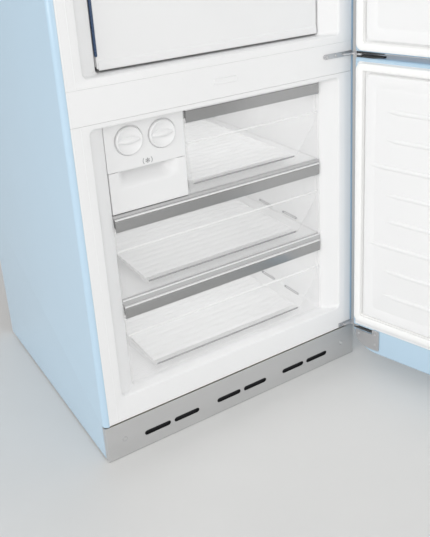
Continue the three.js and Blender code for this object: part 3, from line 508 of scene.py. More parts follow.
def linings():
    """Both compartments' linings, with their runners."""
    mullion_low, mullion_high = span("mullion_cover")[2]
    low = span("freezer_liner")[2][0]
    freezer = liner((low, mullion_low - 0.3), FREEZER_MOUTH, FREEZER_INSIDE, step=FREEZER_STEP)
    runners(freezer, ["bottom_drawer"], (40, 378))
    runners(freezer, ["middle_drawer"], (40, 525))
    runners(freezer, ["freezer_shelf_lower", "freezer_shelf_upper"], (46, 520), 3)
    freezer.stand_in("freezer_lining", "freezer_liner")
    top = span("fridge_liner")[2][1]
    fridge = liner((mullion_high + 0.3, top), FRIDGE_MOUTH, FRIDGE_INSIDE,
                   upper=TOP_RADIUS - EDGE_RADIUS)
    runners(fridge, ["crisper_shelf", "glass_shelf_middle", "glass_shelf_upper", "zone_shelf"],
            (130, 560), 5)
    runners(fridge, ["zone_drawer"], (44, 520))
    runners(fridge, ["crisper_drawer"], (130, 560))
    fridge.stand_in("fridge_lining", "fridge_liner")


def flange_creases():
    """Fine beads up the front flange, beside the openings and beside the rolled edge."""
    beads = Shape()
    top = span("fridge_liner")[2][1] - 60
    for side in (-1, 1):
        for x, low, high in ((320, 95, 758), (320, 831, top), (337.5, 95, top)):
            section = [(side * x + 0.9 * a, -0.35 * b) for a, b in arc((0, 0), 1, 0, 180, 6)]
            beads.prism(section, "z", (low, high))
    beads.piece("flange_creases", "liner_white")


def mullion():
    """The cover between the compartments and its blank plate."""
    refined("mullion_cover", bevel=0.9, segments=3)
    x, (y0, y1), z = span("mullion_plate")
    half = (z[1] - z[0]) / 2
    rings = [inset_ring(x, z, inset, half - inset - 0.05, y, 10) for inset, y in
             ((0, y1), (0, y0 + 0.7), (0.25, y0 + 0.25), (0.8, y0), (2.2, y0), (2.6, y0 + 0.5))]
    Shape().skin(rings).stand_in("mullion_badge_blank", "mullion_plate")


def hinges():
    """The three hinges, and the screws in the front of the middle one."""
    refined("middle_hinge", "top_hinge", "bottom_hinge", bevel=0.5)
    (x0, _), _, z = span("middle_hinge")
    spots = [(x0 + along, -3.2, middle(z)) for along in (9, 34, 59)]
    screws("middle_hinge_screws", "hinge_steel", spots, -1, 3.2, look="satin_steel")


# ---- Plinth and base ----
PLINTH_SCREW_X, PLINTH_SCREW_Z = 310, 45
SCREW_CUP = [(4.4, 0.4), (6.2, 0.4), (6.2, -0.5), (5.6, -0.9), (4.8, -0.6), (4.4, 0.2)]


def plinth():
    """The slotted kick plate with a black sheet behind its slots as painted shade, and two screws in cups; the
    base behind it.
    """
    refined("kick_plate", bevel=0.5)
    # Painted shade: a black sheet just behind the slots, for the dark space seen through them.
    slot_shade_sheet = Shape().box((-HALF + 6, HALF - 6), (8, 9.5), (6, KICK_TOP - 4))
    slot_shade_sheet.piece("plinth_painted_shade_sheet", "black_sheet")
    places = (-PLINTH_SCREW_X, PLINTH_SCREW_X)
    screws("plinth_screws", "satin_steel", [(x, 1, PLINTH_SCREW_Z) for x in places], -1, 3.6)
    cups = Shape()
    for x in places:
        cups.turned(SCREW_CUP, "y", (x, 0, PLINTH_SCREW_Z), 32)
    cups.piece("plinth_screw_cups", "satin_steel", look="hinge_steel")
    refined("base_pan", "base_rail_right", "base_rail_left", bevel=0.4)


def levelling_foot(side):
    """A round foot with grip nubs round its edge and a threaded stud."""
    x, y, (_, z1) = span(f"foot_{side}")
    centre = (middle(x), middle(y), 0)
    radius = (x[1] - x[0]) / 2
    pad = [(0, 0), (radius - 1, 0), (radius, 1.2), (radius, 6), (radius - 1.5, 7.5), (11, 10),
           (10, 12), (0, 12)]
    foot = Shape().turned(pad, "z", centre, 48)
    for k in range(12):
        a = radians(30 * k)
        spot = (centre[0] + (radius - 1.2) * cos(a), centre[1] + (radius - 1.2) * sin(a), 1.5)
        foot.turned([(0, 0), (1.1, 0), (1.1, 4.6), (0, 4.6)], "z", spot, 8)
    thread = [(0, 11)]
    for k in range(22):
        thread += [(5, 12 + 2 * k), (4.3, 13 + 2 * k)]
    foot.turned(thread + [(0, z1)], "z", centre, 24)
    foot.stand_in(f"levelling_foot_{side}", f"foot_{side}")


def rear_roller(side):
    """A roller with bevelled edges and dished sides, on its axle."""
    body = f"roller_{side}"
    x, y, z = span(body)
    r, half = (z[1] - z[0]) / 2, (x[1] - x[0]) / 2
    edge = [(0, half), (4, half), (4, 15), (r - 5, 13), (r - 4, 15), (r - 1.5, 15), (r, 13)]
    tyre = [(radius, -along) for radius, along in edge] + edge[::-1]
    roller = Shape().turned(tyre, "x", (middle(x), middle(y), middle(z)), 48)
    roller.stand_in(f"rear_roller_{side}", body)


# ---- Back and machine compartment ----
COMPRESSOR_Y = 548
COMPRESSOR_CAN = [
    (0, 80), (46, 80), (58, 86), (66, 100), (70, 118), (71.5, 148), (72, 153), (77.5, 155), (78, 157),
    (77.5, 160), (72, 162), (71, 186), (66, 208), (54, 224), (34, 234), (0, 238)]
RUBBER_MOUNT = [(0, 64.5), (10, 64.5), (10, 68), (8, 70), (10, 73), (10, 78), (6, 84), (0, 84)]
LOUVRE = [(-0.2, 7), (-0.2, 3), (4.2, -2.2), (5, -1.6), (5, -0.4)]
FAN_Y, FAN_Z = 566, 668


def back_of_cabinet():
    """The back panel with two pressed beads, the rear cover with louvres, and their screws."""
    refined("back_panel", "rear_cover", bevel=0.3)
    (x0, x1), (_, y), (z0, z1) = span("back_panel")
    x = (x0 + 60, x1 - 60)
    beads = Shape()
    for z in ((z0 + 60, 1040), (1100, z1 - 90)):
        rings = [inset_ring(x, z, inset, 40 - inset, y - 0.2 + out) for inset, out in
                 ((0, 0), (1.2, 1.6), (3.5, 2.6), (6.5, 2.6), (8.8, 1.6), (10, 0))]
        beads.skin(rings + [inset_ring(x, z, 5, 35, y - 0.6)], loop=True)
    beads.piece("back_panel_beads", "zinc_steel")
    spots = [(x, y, z) for x in (x0 + 14, x1 - 14) for z in range(int(z0) + 40, int(z1) - 80, 270)]
    (x0, x1), (_, y), (z0, z1) = span("rear_cover")
    spots += [(x, y, z1 - 12) for x in (x0 + 14, -110, 110, x1 - 14)]
    spots += [(x, y, z0 + 14) for x in (x0 + 14, x1 - 14)]
    screws("back_screws", "zinc_steel", spots, 1, 3.6)
    hoods = Shape()
    for x in (-210, -70, 70, 210):
        for z in (130, 150, 170, 190):
            hoods.prism(moved(LOUVRE, y, z), "x", (x - 46, x + 46))
    hoods.piece("rear_cover_louvres", "black_sheet", bevel=0.3)


def machine_compartment():
    """Compressor on rubber mounts with its pipes; condenser, evaporator and duct cover."""
    x = middle(span("compressor")[0])
    compressor = Shape().turned(COMPRESSOR_CAN, "z", (x, COMPRESSOR_Y, 0), 64, (1.2, 1))
    compressor.prism(rounded((x - 95, x + 95), (508, 588), 8), "z", (76, 82))
    for i in (-1, 1):
        compressor.box((x + i * 92 - 18, x + i * 92 + 18), (488, 608), (76, 80))
        for j in (-1, 1):
            compressor.turned(RUBBER_MOUNT, "z", (x + i * 96, COMPRESSOR_Y + j * 48, 0), 20)
    compressor.box((x + 60, x + 84), (520, 566), (120, 170))
    compressor.stand_in("compressor_can", "compressor")
    pipes = Shape()
    for route in (((-40, 600, 190), (-45, 625, 195), (-20, 632, 215), (60, 632, 220),
                   (150, 630, 205), (190, 600, 180)),
                  ((20, 610, 140), (30, 632, 130), (90, 636, 110), (160, 630, 110), (196, 600, 110))):
        pipes.tube(smooth_path([(x + across, y, z) for across, y, z in route]), 3.2)
    pipes.turned([(0, 120), (3, 121), (9, 130), (9, 200), (3, 209), (0, 210)], "z",
                 (x + 130, 615, 0), 24)
    pipes.piece("refrigerant_pipes", "fin_metal", look="copper_pipe")
    refined("condenser", "evaporator", bevel=0)
    refined("freezer_duct_cover", bevel=0.4)


def evaporator_fan():
    """A hub with five twisted blades."""
    _, (y0, y1), _ = span("evaporator_fan")
    centre = Vector((0, 0, FAN_Z))
    fan = Shape().turned([(0, y0), (10, y0), (14, y0 + 4), (14, y1), (0, y1)], "y", centre, 32)
    for blade in range(5):
        turn = Matrix.Rotation(radians(72 * blade), 4, "Y")
        rings = []
        for step in range(7):
            radius = 12 + 36 * step / 6
            reach = 9 + 4 * sin(pi * step / 6)
            twist = 0.75 - 0.35 * step / 6
            low = Vector((-reach * cos(twist), FAN_Y - reach * sin(twist), radius))
            high = Vector((reach * cos(twist), FAN_Y + reach * sin(twist), radius))
            thick = Vector((0, 0.8, 0))
            corners = (low - thick, high - thick, high + thick, low + thick)
            rings.append([centre + turn @ p for p in corners])
        fan.skin(rings)
    fan.stand_in("freezer_fan", "evaporator_fan")


# ---- Freezer drawers ----
FLOOR_RISE = 18.4
WAVE, WAVE_STEPS = 23, 8
CREASE_DROP = 73
CREASE = [(1.5, -2), (0.1, -1.2), (-0.5, 0), (0.4, 1.4), (2.5, 2)]
FLOOR_EDGE = [(4.2, -2.2), (5.8, 1), (4.2, 1.4)]
SHELF_BEAD = [(-2.2, -1.6), (-2.6, -0.2), (-2.2, 0.9), (-1.2, 1.3), (0.2, 1), (0.2, -0.1), (-1.6, -0.1)]
WALL_SLOPE = Vector((59, 0, 76)).normalized()
SLOT_HALF = 2.6


def drawer(name, ribs):
    """A clear drawer with moulded ribs across its floor and a satin trim along its top."""
    refined(name, bevel=0.5)
    refined(f"{name}_trim", bevel=0.7, segments=3)
    x, (y0, y1), (z0, z1) = span(name)
    floor = z0 + FLOOR_RISE
    waves = round((y1 - y0 - 50) / WAVE)
    steps = WAVE_STEPS * waves
    section = [(y0 + 20 + WAVE * waves * k / steps, floor + 1.05 - 0.85 * cos(2 * pi * k / WAVE_STEPS))
               for k in range(steps + 1)]
    section += [(section[-1][0], floor + 0.05), (section[0][0], floor + 0.05)]
    strip(f"{name}_floor_ribs", "clear_plastic", section, ribs, body=name, sharp=60,
          look="frosted_rib")
    # The crease is real moulded relief; its near-white, more opaque colour is a painted highlight along it.
    strip(f"{name}_crease", "clear_plastic", moved(CREASE, y0, z1 - CREASE_DROP),
          grown(x, -3), body=name, look="crease_painted_highlight")
    # Painted shade: a dark grey strip along the front of the floor for the shaded groove where floor meets front.
    strip(f"{name}_floor_edge", "clear_plastic", moved(FLOOR_EDGE, y0, floor), ribs, body=name,
          look="dark_painted_shade")
    trim_highlight_bead(name)
    if name != "top_drawer":
        slot_lips(name, z0)


def trim_highlight_bead(name):
    """A rounded bead along the top edge of a drawer's trim, in shelf white as a painted highlight along that edge.
    """
    x, (y, _), (_, z) = span(f"{name}_trim")
    roll = [(y + 2.6 - 2.7 * c, z - 2.8 + 2.7 * s) for s, c in quarter(6)]
    section = [(y + 0.3, z - 3.4), *roll, *moved([(5, 0.05), (5, -0.8), (2.4, -2.2)], y, z)]
    # Painted highlight: the bead is shelf white for the light line along the trim's top edge.
    strip(f"{name}_trim_painted_highlight", "clear_plastic", section, grown(x, -0.4), body=name,
          look="shelf_white")


def slot_lips(name, bottom):
    """Moulded lips round the slots in a drawer's sloping right wall, coloured dark grey as painted shade in the
    slots.
    """
    lips = Shape()
    out = Vector((WALL_SLOPE.z, 0, -WALL_SLOPE.x))
    wall = Vector((220, 0, bottom + 38))
    for y in ((60, 115), (162, 216)):
        rings = []
        for inset, rise in ((0, -0.4), (0, 3), (1.5, 3), (1.5, -0.4)):
            across = grown((-SLOT_HALF, SLOT_HALF), -inset)
            ring = []
            for u, v in rounded(across, grown(y, -inset), 2.2 - inset, steps=4):
                p = wall + WALL_SLOPE * u - out * (rise - 1.3)
                ring.append((p.x, v, p.z))
            rings.append(ring)
        lips.skin(rings, loop=True)
    lips.piece(f"{name}_slot_lips", "clear_plastic", name, look="dark_painted_shade")


def freezer_shelves():
    """Two shelves; their front edges reach down to the trims of the drawers under them, and are painted grey as
    the shade under the drawers above.
    """
    for node, below in (("freezer_shelf_lower", "bottom_drawer"),
                        ("freezer_shelf_upper", "middle_drawer")):
        refined(node, bevel=0.8, segments=3)
        x, (y, _), (_, z) = span(node)
        under = span(f"{below}_trim")[2][1] + 1.2
        top = moved([(-2, 0.5), (8, 0.5), (8, -0.2), (0.2, -0.2)], y, z)
        section = [(y - 2, under), *top, (y + 0.2, under)]
        # Painted shade: this edge strip is coloured grey for the shade under the drawer above, not the shelf's own
        # colour.
        strip(f"{node}_edge", "shelf_white", section, grown(x, -0.5), bevel=0.4,
              look="shelf_edge_painted_shade")
        if node == "freezer_shelf_lower":
            strip(f"{node}_bead", "shelf_white", moved(SHELF_BEAD, y, z), grown(x, -0.6))


# ---- Ice maker ----
CASE_FOOT = 672
GRIP_HALF, GRIP_STEPS = 25.8, 24
SCOOP_DEPTH, SCOOP_FLOOR = 18.5, 48
RAMP_LEFT, RAMP_RIGHT, RAMP_UP = 24, 42, 33
COLUMNS, ROWS = 60, 40


def ice_maker():
    """The housing with a recess for each knob, the knobs, trays, mark and bin."""
    (x0, x1), (y0, y1), (z0, z1) = span("ice_maker_body")
    centres = []
    recesses = []
    for side in ("left", "right"):
        x, _, z = map(middle, span(f"ice_knob_{side}"))
        centres.append((x, z))
        dish = [(33, y0 - 5), (32, y0 - 0.9), (31.2, y0 + 0.1), (30.8, y0 + 2.6)]
        recesses.append(Shape().turned(dish, "y", (x, 0, z), 96))
        recesses.append(Shape().turned([(6.6, y0), (6.6, y0 + 9)], "y", (x, 0, z), 32))
    front = Shape().box((x0, x1), (y0 - 0.8, y0 + 3), (z0, z1))
    front.stand_in("ice_maker_front", "ice_maker_body", bevel=1, segments=3, carve=recesses)
    case = Shape()
    case.box((x0, x1), (y0 + 2.8, y1), (z1 - 2, z1))
    for x in (x0, x1 - 2):
        case.box((x + 0.1, x + 1.9), (y0 + 2.9, y1 - 0.1), (CASE_FOOT, z1 - 1))
    case.box((x0 + 1, x1 - 1), (y1 - 2, y1 - 0.3), (CASE_FOOT + 0.3, z1 - 1.2))
    case.piece("ice_maker_case", "module_white", bevel=0.4)
    for side, (x, z) in zip(("left", "right"), centres):
        ice_knob(side, x, z)
        refined(f"ice_tray_{side}", bevel=0.5)
    ice_mark((x0 + x1) / 2, y0 - 0.8, z0 + 10)
    ice_bin()


def ice_knob(side, x, z):
    """A round knob: raised rim, dished face and a lens-shaped grip across it."""
    y0, y1 = span(f"ice_knob_{side}")[1]
    face = y0 + 7.6
    dish = [(0, 6.8), (14.4, 6.2), (22, 3.6), (25.8, 0.6), (27.1, 0), (28.2, 0.8), (29, 2.2),
            (29, 8.6), (28.2, 9.6), (6, 9.6)]
    profile = [(radius, face + depth) for radius, depth in dish] + [(6, y1), (0, y1)]
    knob = Shape().turned(profile, "y", (x, 0, z), 96)
    rings = []
    for k in range(GRIP_STEPS + 1):
        t = -1 + 2 * k / GRIP_STEPS
        swell = sqrt(max(1 - t * t, 0.0004))
        half = 2.5 + 6 * swell ** 2
        lift = 1 + 9.6 * swell ** 0.7
        base = face + 7.5
        section = [(share * half, base - height * lift) for share, height in
                   ((-1, 0), (-0.8, 0.55), (-0.36, 0.92), (0, 1), (0.36, 0.92), (0.8, 0.55), (1, 0))]
        rings.append([(x + GRIP_HALF * t, depth, z + up) for up, depth in section])
    knob.skin(rings)
    knob.stand_in(f"ice_twist_knob_{side}", f"ice_knob_{side}", sharp=50)


def ice_mark(x, y, z):
    """A plain ice mark: a six-armed star between two curved strokes."""
    mark = Shape()

    def stroke(a, b, width=0.5):
        along = Vector((b[0] - a[0], b[1] - a[1])).normalized()
        side = Vector((-along.y, along.x)) * width
        corners = [Vector(a) - side, Vector(b) - side, Vector(b) + side, Vector(a) + side]
        mark.prism([(x + p.x, z + p.y) for p in corners], "y", (y - 0.25, y + 0.3))

    for arm in range(6):
        a = radians(90 + 60 * arm)
        tip = Vector((cos(a), sin(a))) * 1.5
        if arm < 3:
            stroke(tip * -3.6, tip * 3.6, 0.4)
        for fork in (-50, 50):
            b = a + radians(fork)
            stroke(tip * 2.1, tip * 2.1 + Vector((cos(b), sin(b))) * 2, 0.35)
    for side in (-1, 1):
        bow = [(side * (7 + 3.4 * cos(radians(t))), 6.2 * sin(radians(t)))
               for t in range(-70, 71, 20)]
        for a, b in zip(bow, bow[1:]):
            stroke(a, b)
    mark.piece("ice_mark", "module_white", look="grey_print")


def ice_bin():
    """The CAD bin, with a front whose finger scoop flows out of the face."""
    refined("ice_bin")
    (x0, x1), (y, _), (z0, z1) = span("ice_bin")
    left, right, low = x0 + 19.5, x1 - 13.5, z0 + SCOOP_FLOOR

    def ease(t):
        t = min(max(t, 0), 1)
        return t * t * (3 - 2 * t)

    def sink(x, z):
        sides = ease((x - left) / RAMP_LEFT) * ease((right - x) / RAMP_RIGHT)
        return SCOOP_DEPTH * sides * ease((z - low) / RAMP_UP)

    across = [x0 + 0.2 + (x1 - x0 - 0.4) * i / COLUMNS for i in range(COLUMNS + 1)]
    rings = []
    for j in range(ROWS + 1):
        z = z0 + 0.3 + (z1 - z0 + 0.9) * j / ROWS
        front = [(x, y - 0.8 + sink(x, z), z) for x in across]
        back = [(x, y + 0.2 + sink(x, z), z) for x in across[::-1]]
        rings.append(front + back)
    Shape().skin(rings).piece("ice_bin_front", "module_white", "ice_bin", sharp=60)


# ---- Fridge compartment ----
TUB_WALL = 2.5
ZONE_LIP = [(4, 2.5), (1.2, 0), (-0.6, 1.2), (-1.2, 4), (-1, 15), (1.2, 19), (0.8, 60), (0, 120)]
DIAL_SIDES, DIAL_GRIPS = 72, 18
MARK_ACROSS, MARK_UP = 21, 14


def fridge_inside():
    zone_drawer()
    crisper()
    for node in ("zone_shelf", "crisper_shelf", "glass_shelf_middle", "glass_shelf_upper"):
        glass_shelf(node)
    control_box()
    air_duct()


def zone_drawer():
    """The deep drawer over the mullion: white front with a lip along its bottom, tub and strip."""
    (_, x1), (y0, y1), (z0, z1) = span("zone_drawer")
    strip_x, (strip_front, strip_back), strip_z = span("zone_strip")
    left = strip_x[1] + 0.3
    top = moved([(0.6, -3), (2, 0), (4, 0)], y0, z1)
    front = Shape().prism(moved(ZONE_LIP, y0, z0) + top, "x", (left, x1))
    front.stand_in("zone_drawer_front", "zone_drawer", bevel=1.6, segments=4, sharp=50)
    half = x1 - 2.5
    tub = Shape().skin(tub_rings((-half, half), (y0 + 3.6, y1), (z0 + 6, z1 - 1), 2.5))
    tub.box((-half, left), (y0 + 1, y0 + 3.8), (z0 + 4, z1 - 2))
    tub.piece("zone_drawer_tub", "module_white", "zone_drawer", sharp=50)
    rings = [inset_ring(strip_x, strip_z, inset, 2.4 - inset, y, 6) for inset, y in
             ((0, strip_back), (0, strip_front + 0.6), (0.5, strip_front))]
    Shape().skin(rings).stand_in("zone_drawer_strip", "zone_strip")


def tub_rings(x, y, z, lip):
    """Outlines of a thin tub, from under its floor, over its side lips, to the floor inside."""
    wall, (low, high) = TUB_WALL, z
    outlines = []
    for inset, out, radius, height in (
            (2.2, 0, 5, low), (0.6, 0, 6, low + 0.6), (0, 0, 6.5, low + 2.2), (0, 0, 6.5, high - 4),
            (0, lip, 6.5, high - 4), (0, lip, 6.5, high - 0.8), (0.8, lip, 6, high),
            (wall - 0.6, 0, 4.6, high), (wall, 0, 4, high - 0.8), (wall, 0, 4, low + wall + 2.2),
            (wall + 0.6, 0, 3.4, low + wall + 0.6), (wall + 2.2, 0, 2, low + wall)):
        across, along = grown(x, out - inset), grown(y, min(out, 0.8) - inset)
        outlines.append(in_xy(rounded(across, along, radius, steps=5), height))
    return outlines


def crisper():
    """A clear tub whose side lips hang on the runners."""
    x, y, z = span("crisper_drawer")
    tub = Shape().skin(tub_rings(grown(x, -6), y, z, 6))
    tub.stand_in("crisper_tub", "crisper_drawer", sharp=50)


def glass_shelf(node):
    """A glass shelf gripped by white rails along its front and its back."""
    refined(node)
    x, (y0, y1), (z0, z1) = span(node)
    rails = Shape()
    for y, out in ((y0, -1), (y1, 1)):
        front, tip, hold = y + out * 1.5, y + out * 2.5, y - out * 9
        section = [(front, z0 - 3), (tip, z0 - 2), (tip, z1 + 2), (front, z1 + 3), (hold, z1 + 1.2),
                   (hold, z1 + 0.1), (y, z1 + 0.1), (y, z0 - 0.1), (hold, z0 - 0.1), (hold, z0 - 1.2)]
        rails.prism(section, "x", x)
    rails.piece(f"{node}_rails", "shelf_white", bevel=0.4)


def control_box():
    """The box under the fridge's top: a fluted temperature knob with ten marks, and a ribbed lens."""
    refined("control_box", bevel=3, segments=4)
    x, (y0, y1), z = span("temperature_knob")
    radius = (x[1] - x[0]) / 2
    x, z = middle(x), middle(z)
    rings = []
    for y, scale in ((y1, 1), (y0 + 6, 1), (y0 + 3.6, 0.93)):
        ring = []
        for k in range(DIAL_SIDES):
            a = 2 * pi * k / DIAL_SIDES
            r = scale * (radius - 0.5 + 0.5 * cos(DIAL_GRIPS * a))
            ring.append((x + r * cos(a), y, z + r * sin(a)))
        rings.append(ring)
    knob = Shape().skin(rings)
    knob.box((x - 1.6, x + 1.6), (y0, y0 + 5), (z - 10.5, z + 10.5))
    knob.stand_in("thermostat_knob", "temperature_knob")
    (x0, x1), (front, _), (under, _) = span("control_box")
    marks = Shape()
    for k in range(10):
        a = radians(225 - 30 * k)
        size = 1.1 if k % 3 else 1.7
        spot = (x + MARK_ACROSS * cos(a), 0, z + MARK_UP * sin(a))
        dot = [(0, front - 0.3), (size, front - 0.3), (size, front + 0.3), (0, front + 0.3)]
        marks.turned(dot, "y", spot, 16)
    marks.piece("thermostat_marks", "module_white", look="grey_print")
    lens = Shape()
    lens.prism(rounded((x0 + 30, x1 - 30), (120, 250), 12), "z", (under - 2.5, under + 1))
    for k in range(14):
        x = x0 + 42 + k * (x1 - x0 - 84) / 13
        lens.box((x - 1.5, x + 1.5), (126, 244), (under - 3.6, under - 2))
    lens.piece("lamp_lens", "module_white", bevel=0.8, look="lamp_lens")


def air_duct():
    """An air duct cover down the middle of the fridge's back wall."""
    outlets = [Shape().box((x - 24, x + 24), (570, 610), (z, z + 7))
               for x in (-38, 38) for z in (1330, 1345, 1560, 1575, 1790, 1805)]
    duct = Shape().prism(rounded((-85, 85), (1250, 1900), 14), "y", (586, 599.5))
    duct.piece("fridge_air_duct", "liner_white", bevel=3, segments=4, carve=outlets)


# ---- Doors ----
DOOR_CORNER, EDGE_CORNER = 68, 6  # at the appliance's corners, and where the doors meet
DOOR_SHEET = 1.2
BACK_RADIUS = 8
SIDE_DEPTH = 48
BULGE, BULGE_WIDTH, BULGE_POWER = 35.7, 260, 0.62
HINGE_XY = (HINGE.x, HINGE.y)
PIVOT_RADIUS = 4.8
POCKET_HALF = 5.5
PANEL_HALF = 317
PANEL_FACE = -4
PANEL_MARGIN = 24  # from the outside of the seal
RIB_LOWEST, RIB_PITCH, RIB_STEPS = 224, 65.8, 20
DYKE_X = 249
STUD = [(0, 233), (6, 233), (6, 236.5), (4.5, 241), (0, 241)]
POST = [(0, -82), (17, -82), (17, -93.6), (15.4, -96.2), (12, -97.8), (10.4, -101), (9.6, -106),
        (0, -106)]


def door_ring(size, inset, wall, y):
    """The door's outline at an inset and depth; its corners soften towards the middle of the bulge."""
    bottom, top, lower, upper = size
    widest = HALF - inset - 10
    edge = inset + wall
    radii = [min(max(radius - inset, 4 + 0.8 * inset), widest) - wall for radius in (lower, upper)]
    outline = rounded((-HALF + edge, HALF - edge), (bottom + edge, top - edge), *radii, steps=14)
    return in_xz(outline, y)


def door_rings(size, back, wall):
    """Rings round the back edge, over the side, to the middle of the bulged front."""
    rings = []
    for s, c in quarter(7):
        y = back - BACK_RADIUS + (BACK_RADIUS - wall) * c
        rings.append(door_ring(size, BACK_RADIUS * (1 - s), wall * s, y))
    for s, c in quarter(26):
        inset = BULGE_WIDTH * (1 - c ** BULGE_POWER)
        y = back - SIDE_DEPTH - (BULGE - wall) * s ** BULGE_POWER
        rings.append(door_ring(size, inset, wall, y))
    return rings


def door(body, lower, upper, hinge_z, bores):
    """A door: hollow steel skin with a window for its lining, hinge pocket, lining, seal, handle."""
    _, (_, back), (bottom, top) = span(f"{body}_shell")
    x, _, z = span(f"{body}_lining")
    size = (bottom, top, lower, upper)
    outer, inner = door_rings(size, back, 0), door_rings(size, back, DOOR_SHEET)
    window = [inset_ring(x, z, -0.1, 1, y, 14) for y in (back, back - DOOR_SHEET)]
    cuts = [Shape().box((HINGE.x - 50, HALF + 6), (HINGE.y - 20, back + 6),
                        grown((hinge_z, hinge_z), POCKET_HALF))]
    for low, high in bores:
        bore = [(PIVOT_RADIUS, low), (PIVOT_RADIUS, high)]
        cuts.append(Shape().turned(bore, "z", (*HINGE_XY, 0), 32))
    skin = Shape().skin(outer[::-1] + window + inner)
    skin.stand_in(f"{body}_skin", f"{body}_shell", sharp=40, carve=cuts)
    hinge_pocket(body, back, hinge_z)
    lining(body, back, x, z)
    seal(body)
    handle(body)


def hinge_pocket(body, back, z):
    """Sheet walls of the hinge pocket let into the door's edge."""
    pocket = Shape()
    x0, x1, y0, y1 = HINGE.x - 50, HALF - 1.2, HINGE.y - 20, back - 1
    height = (z - POCKET_HALF, z + POCKET_HALF)
    plan = [(x0 - 1, y1), (x0 - 1, y0 - 1), (x1, y0 - 1), (x1, y1 - 8), (x1 - 2.5, y1 - 2.5),
            (x1 - 8, y1)]
    for low in (z - 6.6, z + 5.2):
        pocket.pierced(plan, (low, low + 1.4), HINGE_XY, PIVOT_RADIUS)
    pocket.box((x0 - 1.2, x0 + 0.2), (y0 - 1, y1), height)
    pocket.box((x0, x1), (y0 - 1.2, y0 + 0.2), height)
    pocket.piece(f"{body}_hinge_pockets", "blue_enamel", body, look="zinc_steel")


def lining(body, back, x, z):
    """The moulded lining: a raised middle with a groove round it, and ribs or bin carriers."""
    rings = [inset_ring(x, z, inset, 1.5, y) for inset, y in
             ((0, back - 2.4), (0, back - 0.3), (0.8, back))]
    panel_x = (-PANEL_HALF, PANEL_HALF)
    panel_z = grown(span(f"{body}_seal")[2], -PANEL_MARGIN)
    height = PANEL_FACE - back
    for spread, rise, radius in (
            (2.6, 0, 16), (1.6, 0.6, 15.5), (0.9, 2.4, 15), (0.4, height - 3, 14.4),
            (-0.3, height - 1.2, 14), (-1.4, height - 0.3, 13), (-3, height, 12)):
        rings.append(inset_ring(panel_x, panel_z, -spread, radius, back + rise))
    for inset, rise in ((24, 0), (26, -0.6), (29, -0.6), (31, 0)):
        rings.append(inset_ring(panel_x, panel_z, inset, 10, PANEL_FACE + rise))
    shape = Shape().skin(rings)
    if body == "freezer_door":
        for k in range(8):
            lining_rib(shape, 306 if k % 3 == 2 else 262, RIB_LOWEST + RIB_PITCH * k)
    else:
        dykes(shape, span(f"{body}_lining")[1][1])
    shape.stand_in(f"{body}_inner", f"{body}_lining", sharp=40)


def lining_rib(shape, half, z):
    """A long pillow-shaped rib that fades into the lining at both ends."""
    rings = []
    for k in range(RIB_STEPS + 1):
        t = -1 + 2 * k / RIB_STEPS
        end = min((1 - abs(t)) * half / 14, 1)
        swell = sin(end * pi / 2) if k not in (0, RIB_STEPS) else 0.05
        width, rise = 6 * (0.35 + 0.65 * swell), 3.2 * swell
        rings.append([(t * half, PANEL_FACE - 0.6 + (rise + 0.6) * s, z + width * c)
                      for c, s in arc((0, 0), 1, 180, 0, 9)])
    shape.skin(rings)


def dykes(shape, reach):
    """Two upright ridges with studs, which carry the door's bins."""
    foot = PANEL_FACE - 1
    outline = [(DYKE_X - 9, foot), (DYKE_X + 9, foot)] + arc((DYKE_X, reach - 8), 7.4, 0, 180, 10)
    for side in (-1, 1):
        rings = []
        for z, grow in ((1080, 0.55), (1082, 0.85), (1088, 1), (1892, 1), (1898, 0.85), (1900, 0.55)):
            rings.append([(side * (DYKE_X + (a - DYKE_X) * grow), foot + (b - foot) * grow, z)
                          for a, b in outline])
        shape.skin(rings)
        stud = [(radius, side * along) for radius, along in STUD[::side]]
        for z in range(1130, 1880, 70):
            shape.turned(stud, "x", (0, 24, z), 20)


def seal(body):
    """A magnetic seal: a flat lip, a bellows groove and a soft front bead, mitred round the door."""
    x, (y0, y1), z = span(f"{body}_seal")
    lip = moved([(0, 0), (0, 3.5), (1.4, 5), (0.6, 7)], 0, y0)
    bead = moved([(0.2, -3.2), (1, -1), (3.2, 0), (14.5, 0), (17.2, -1), (18.2, -3.2)], 0, y1)
    section = lip + bead + moved([(17.4, 7), (16.2, 5), (18.6, 3.5), (18.6, 0)], 0, y0)
    rings = [inset_ring(x, z, inset, max(16 - inset, 3), y, 6) for inset, y in section]
    gasket = Shape().skin(rings, loop=True)
    gasket.stand_in(f"{body}_gasket", f"{body}_seal", sharp=50)


def handle(body):
    """A chrome bar on two flared posts."""
    x, (y, _), z = span(f"{body}_handle")
    x, reach = middle(x), y + 11
    low, high = grown(z, -10.5)
    bend = [(-88, 0), (-104, 0.5), (-120, 6), (reach + 3, 22), (reach, 48)]
    route = [(x, y, low + rise) for y, rise in bend] + [(x, reach, (low + high) / 2)]
    route += [(x, y, high - rise) for y, rise in bend[::-1]]
    bar = Shape().tube(smooth_path(route, 7), 7, 10.6, 28)
    for z in (low, high):
        bar.turned(POST, "y", (x, 0, z), 40, (0.86, 1))
    bar.stand_in(f"{body}_pull", f"{body}_handle", sharp=50)


def bearing_plates():
    """Black plastic plates round the middle pin, under the upper door and on the lower one."""
    arm = middle(span("middle_hinge")[2])
    plan = rectangle((HINGE.x - 60, HINGE.x + 5), (HINGE.y - 13, HINGE.y + 8))
    for body, z in (("freezer_door", (span("freezer_door_shell")[2][1] - 0.3, arm - 2.6)),
                    ("fridge_door", (arm + 2.6, span("fridge_door_shell")[2][0] + 0.3))):
        plate = Shape().pierced(plan, z, HINGE_XY, 7.8)
        plate.piece(f"{body}_bearing_plate", "black_plastic", body, bevel=0.4)


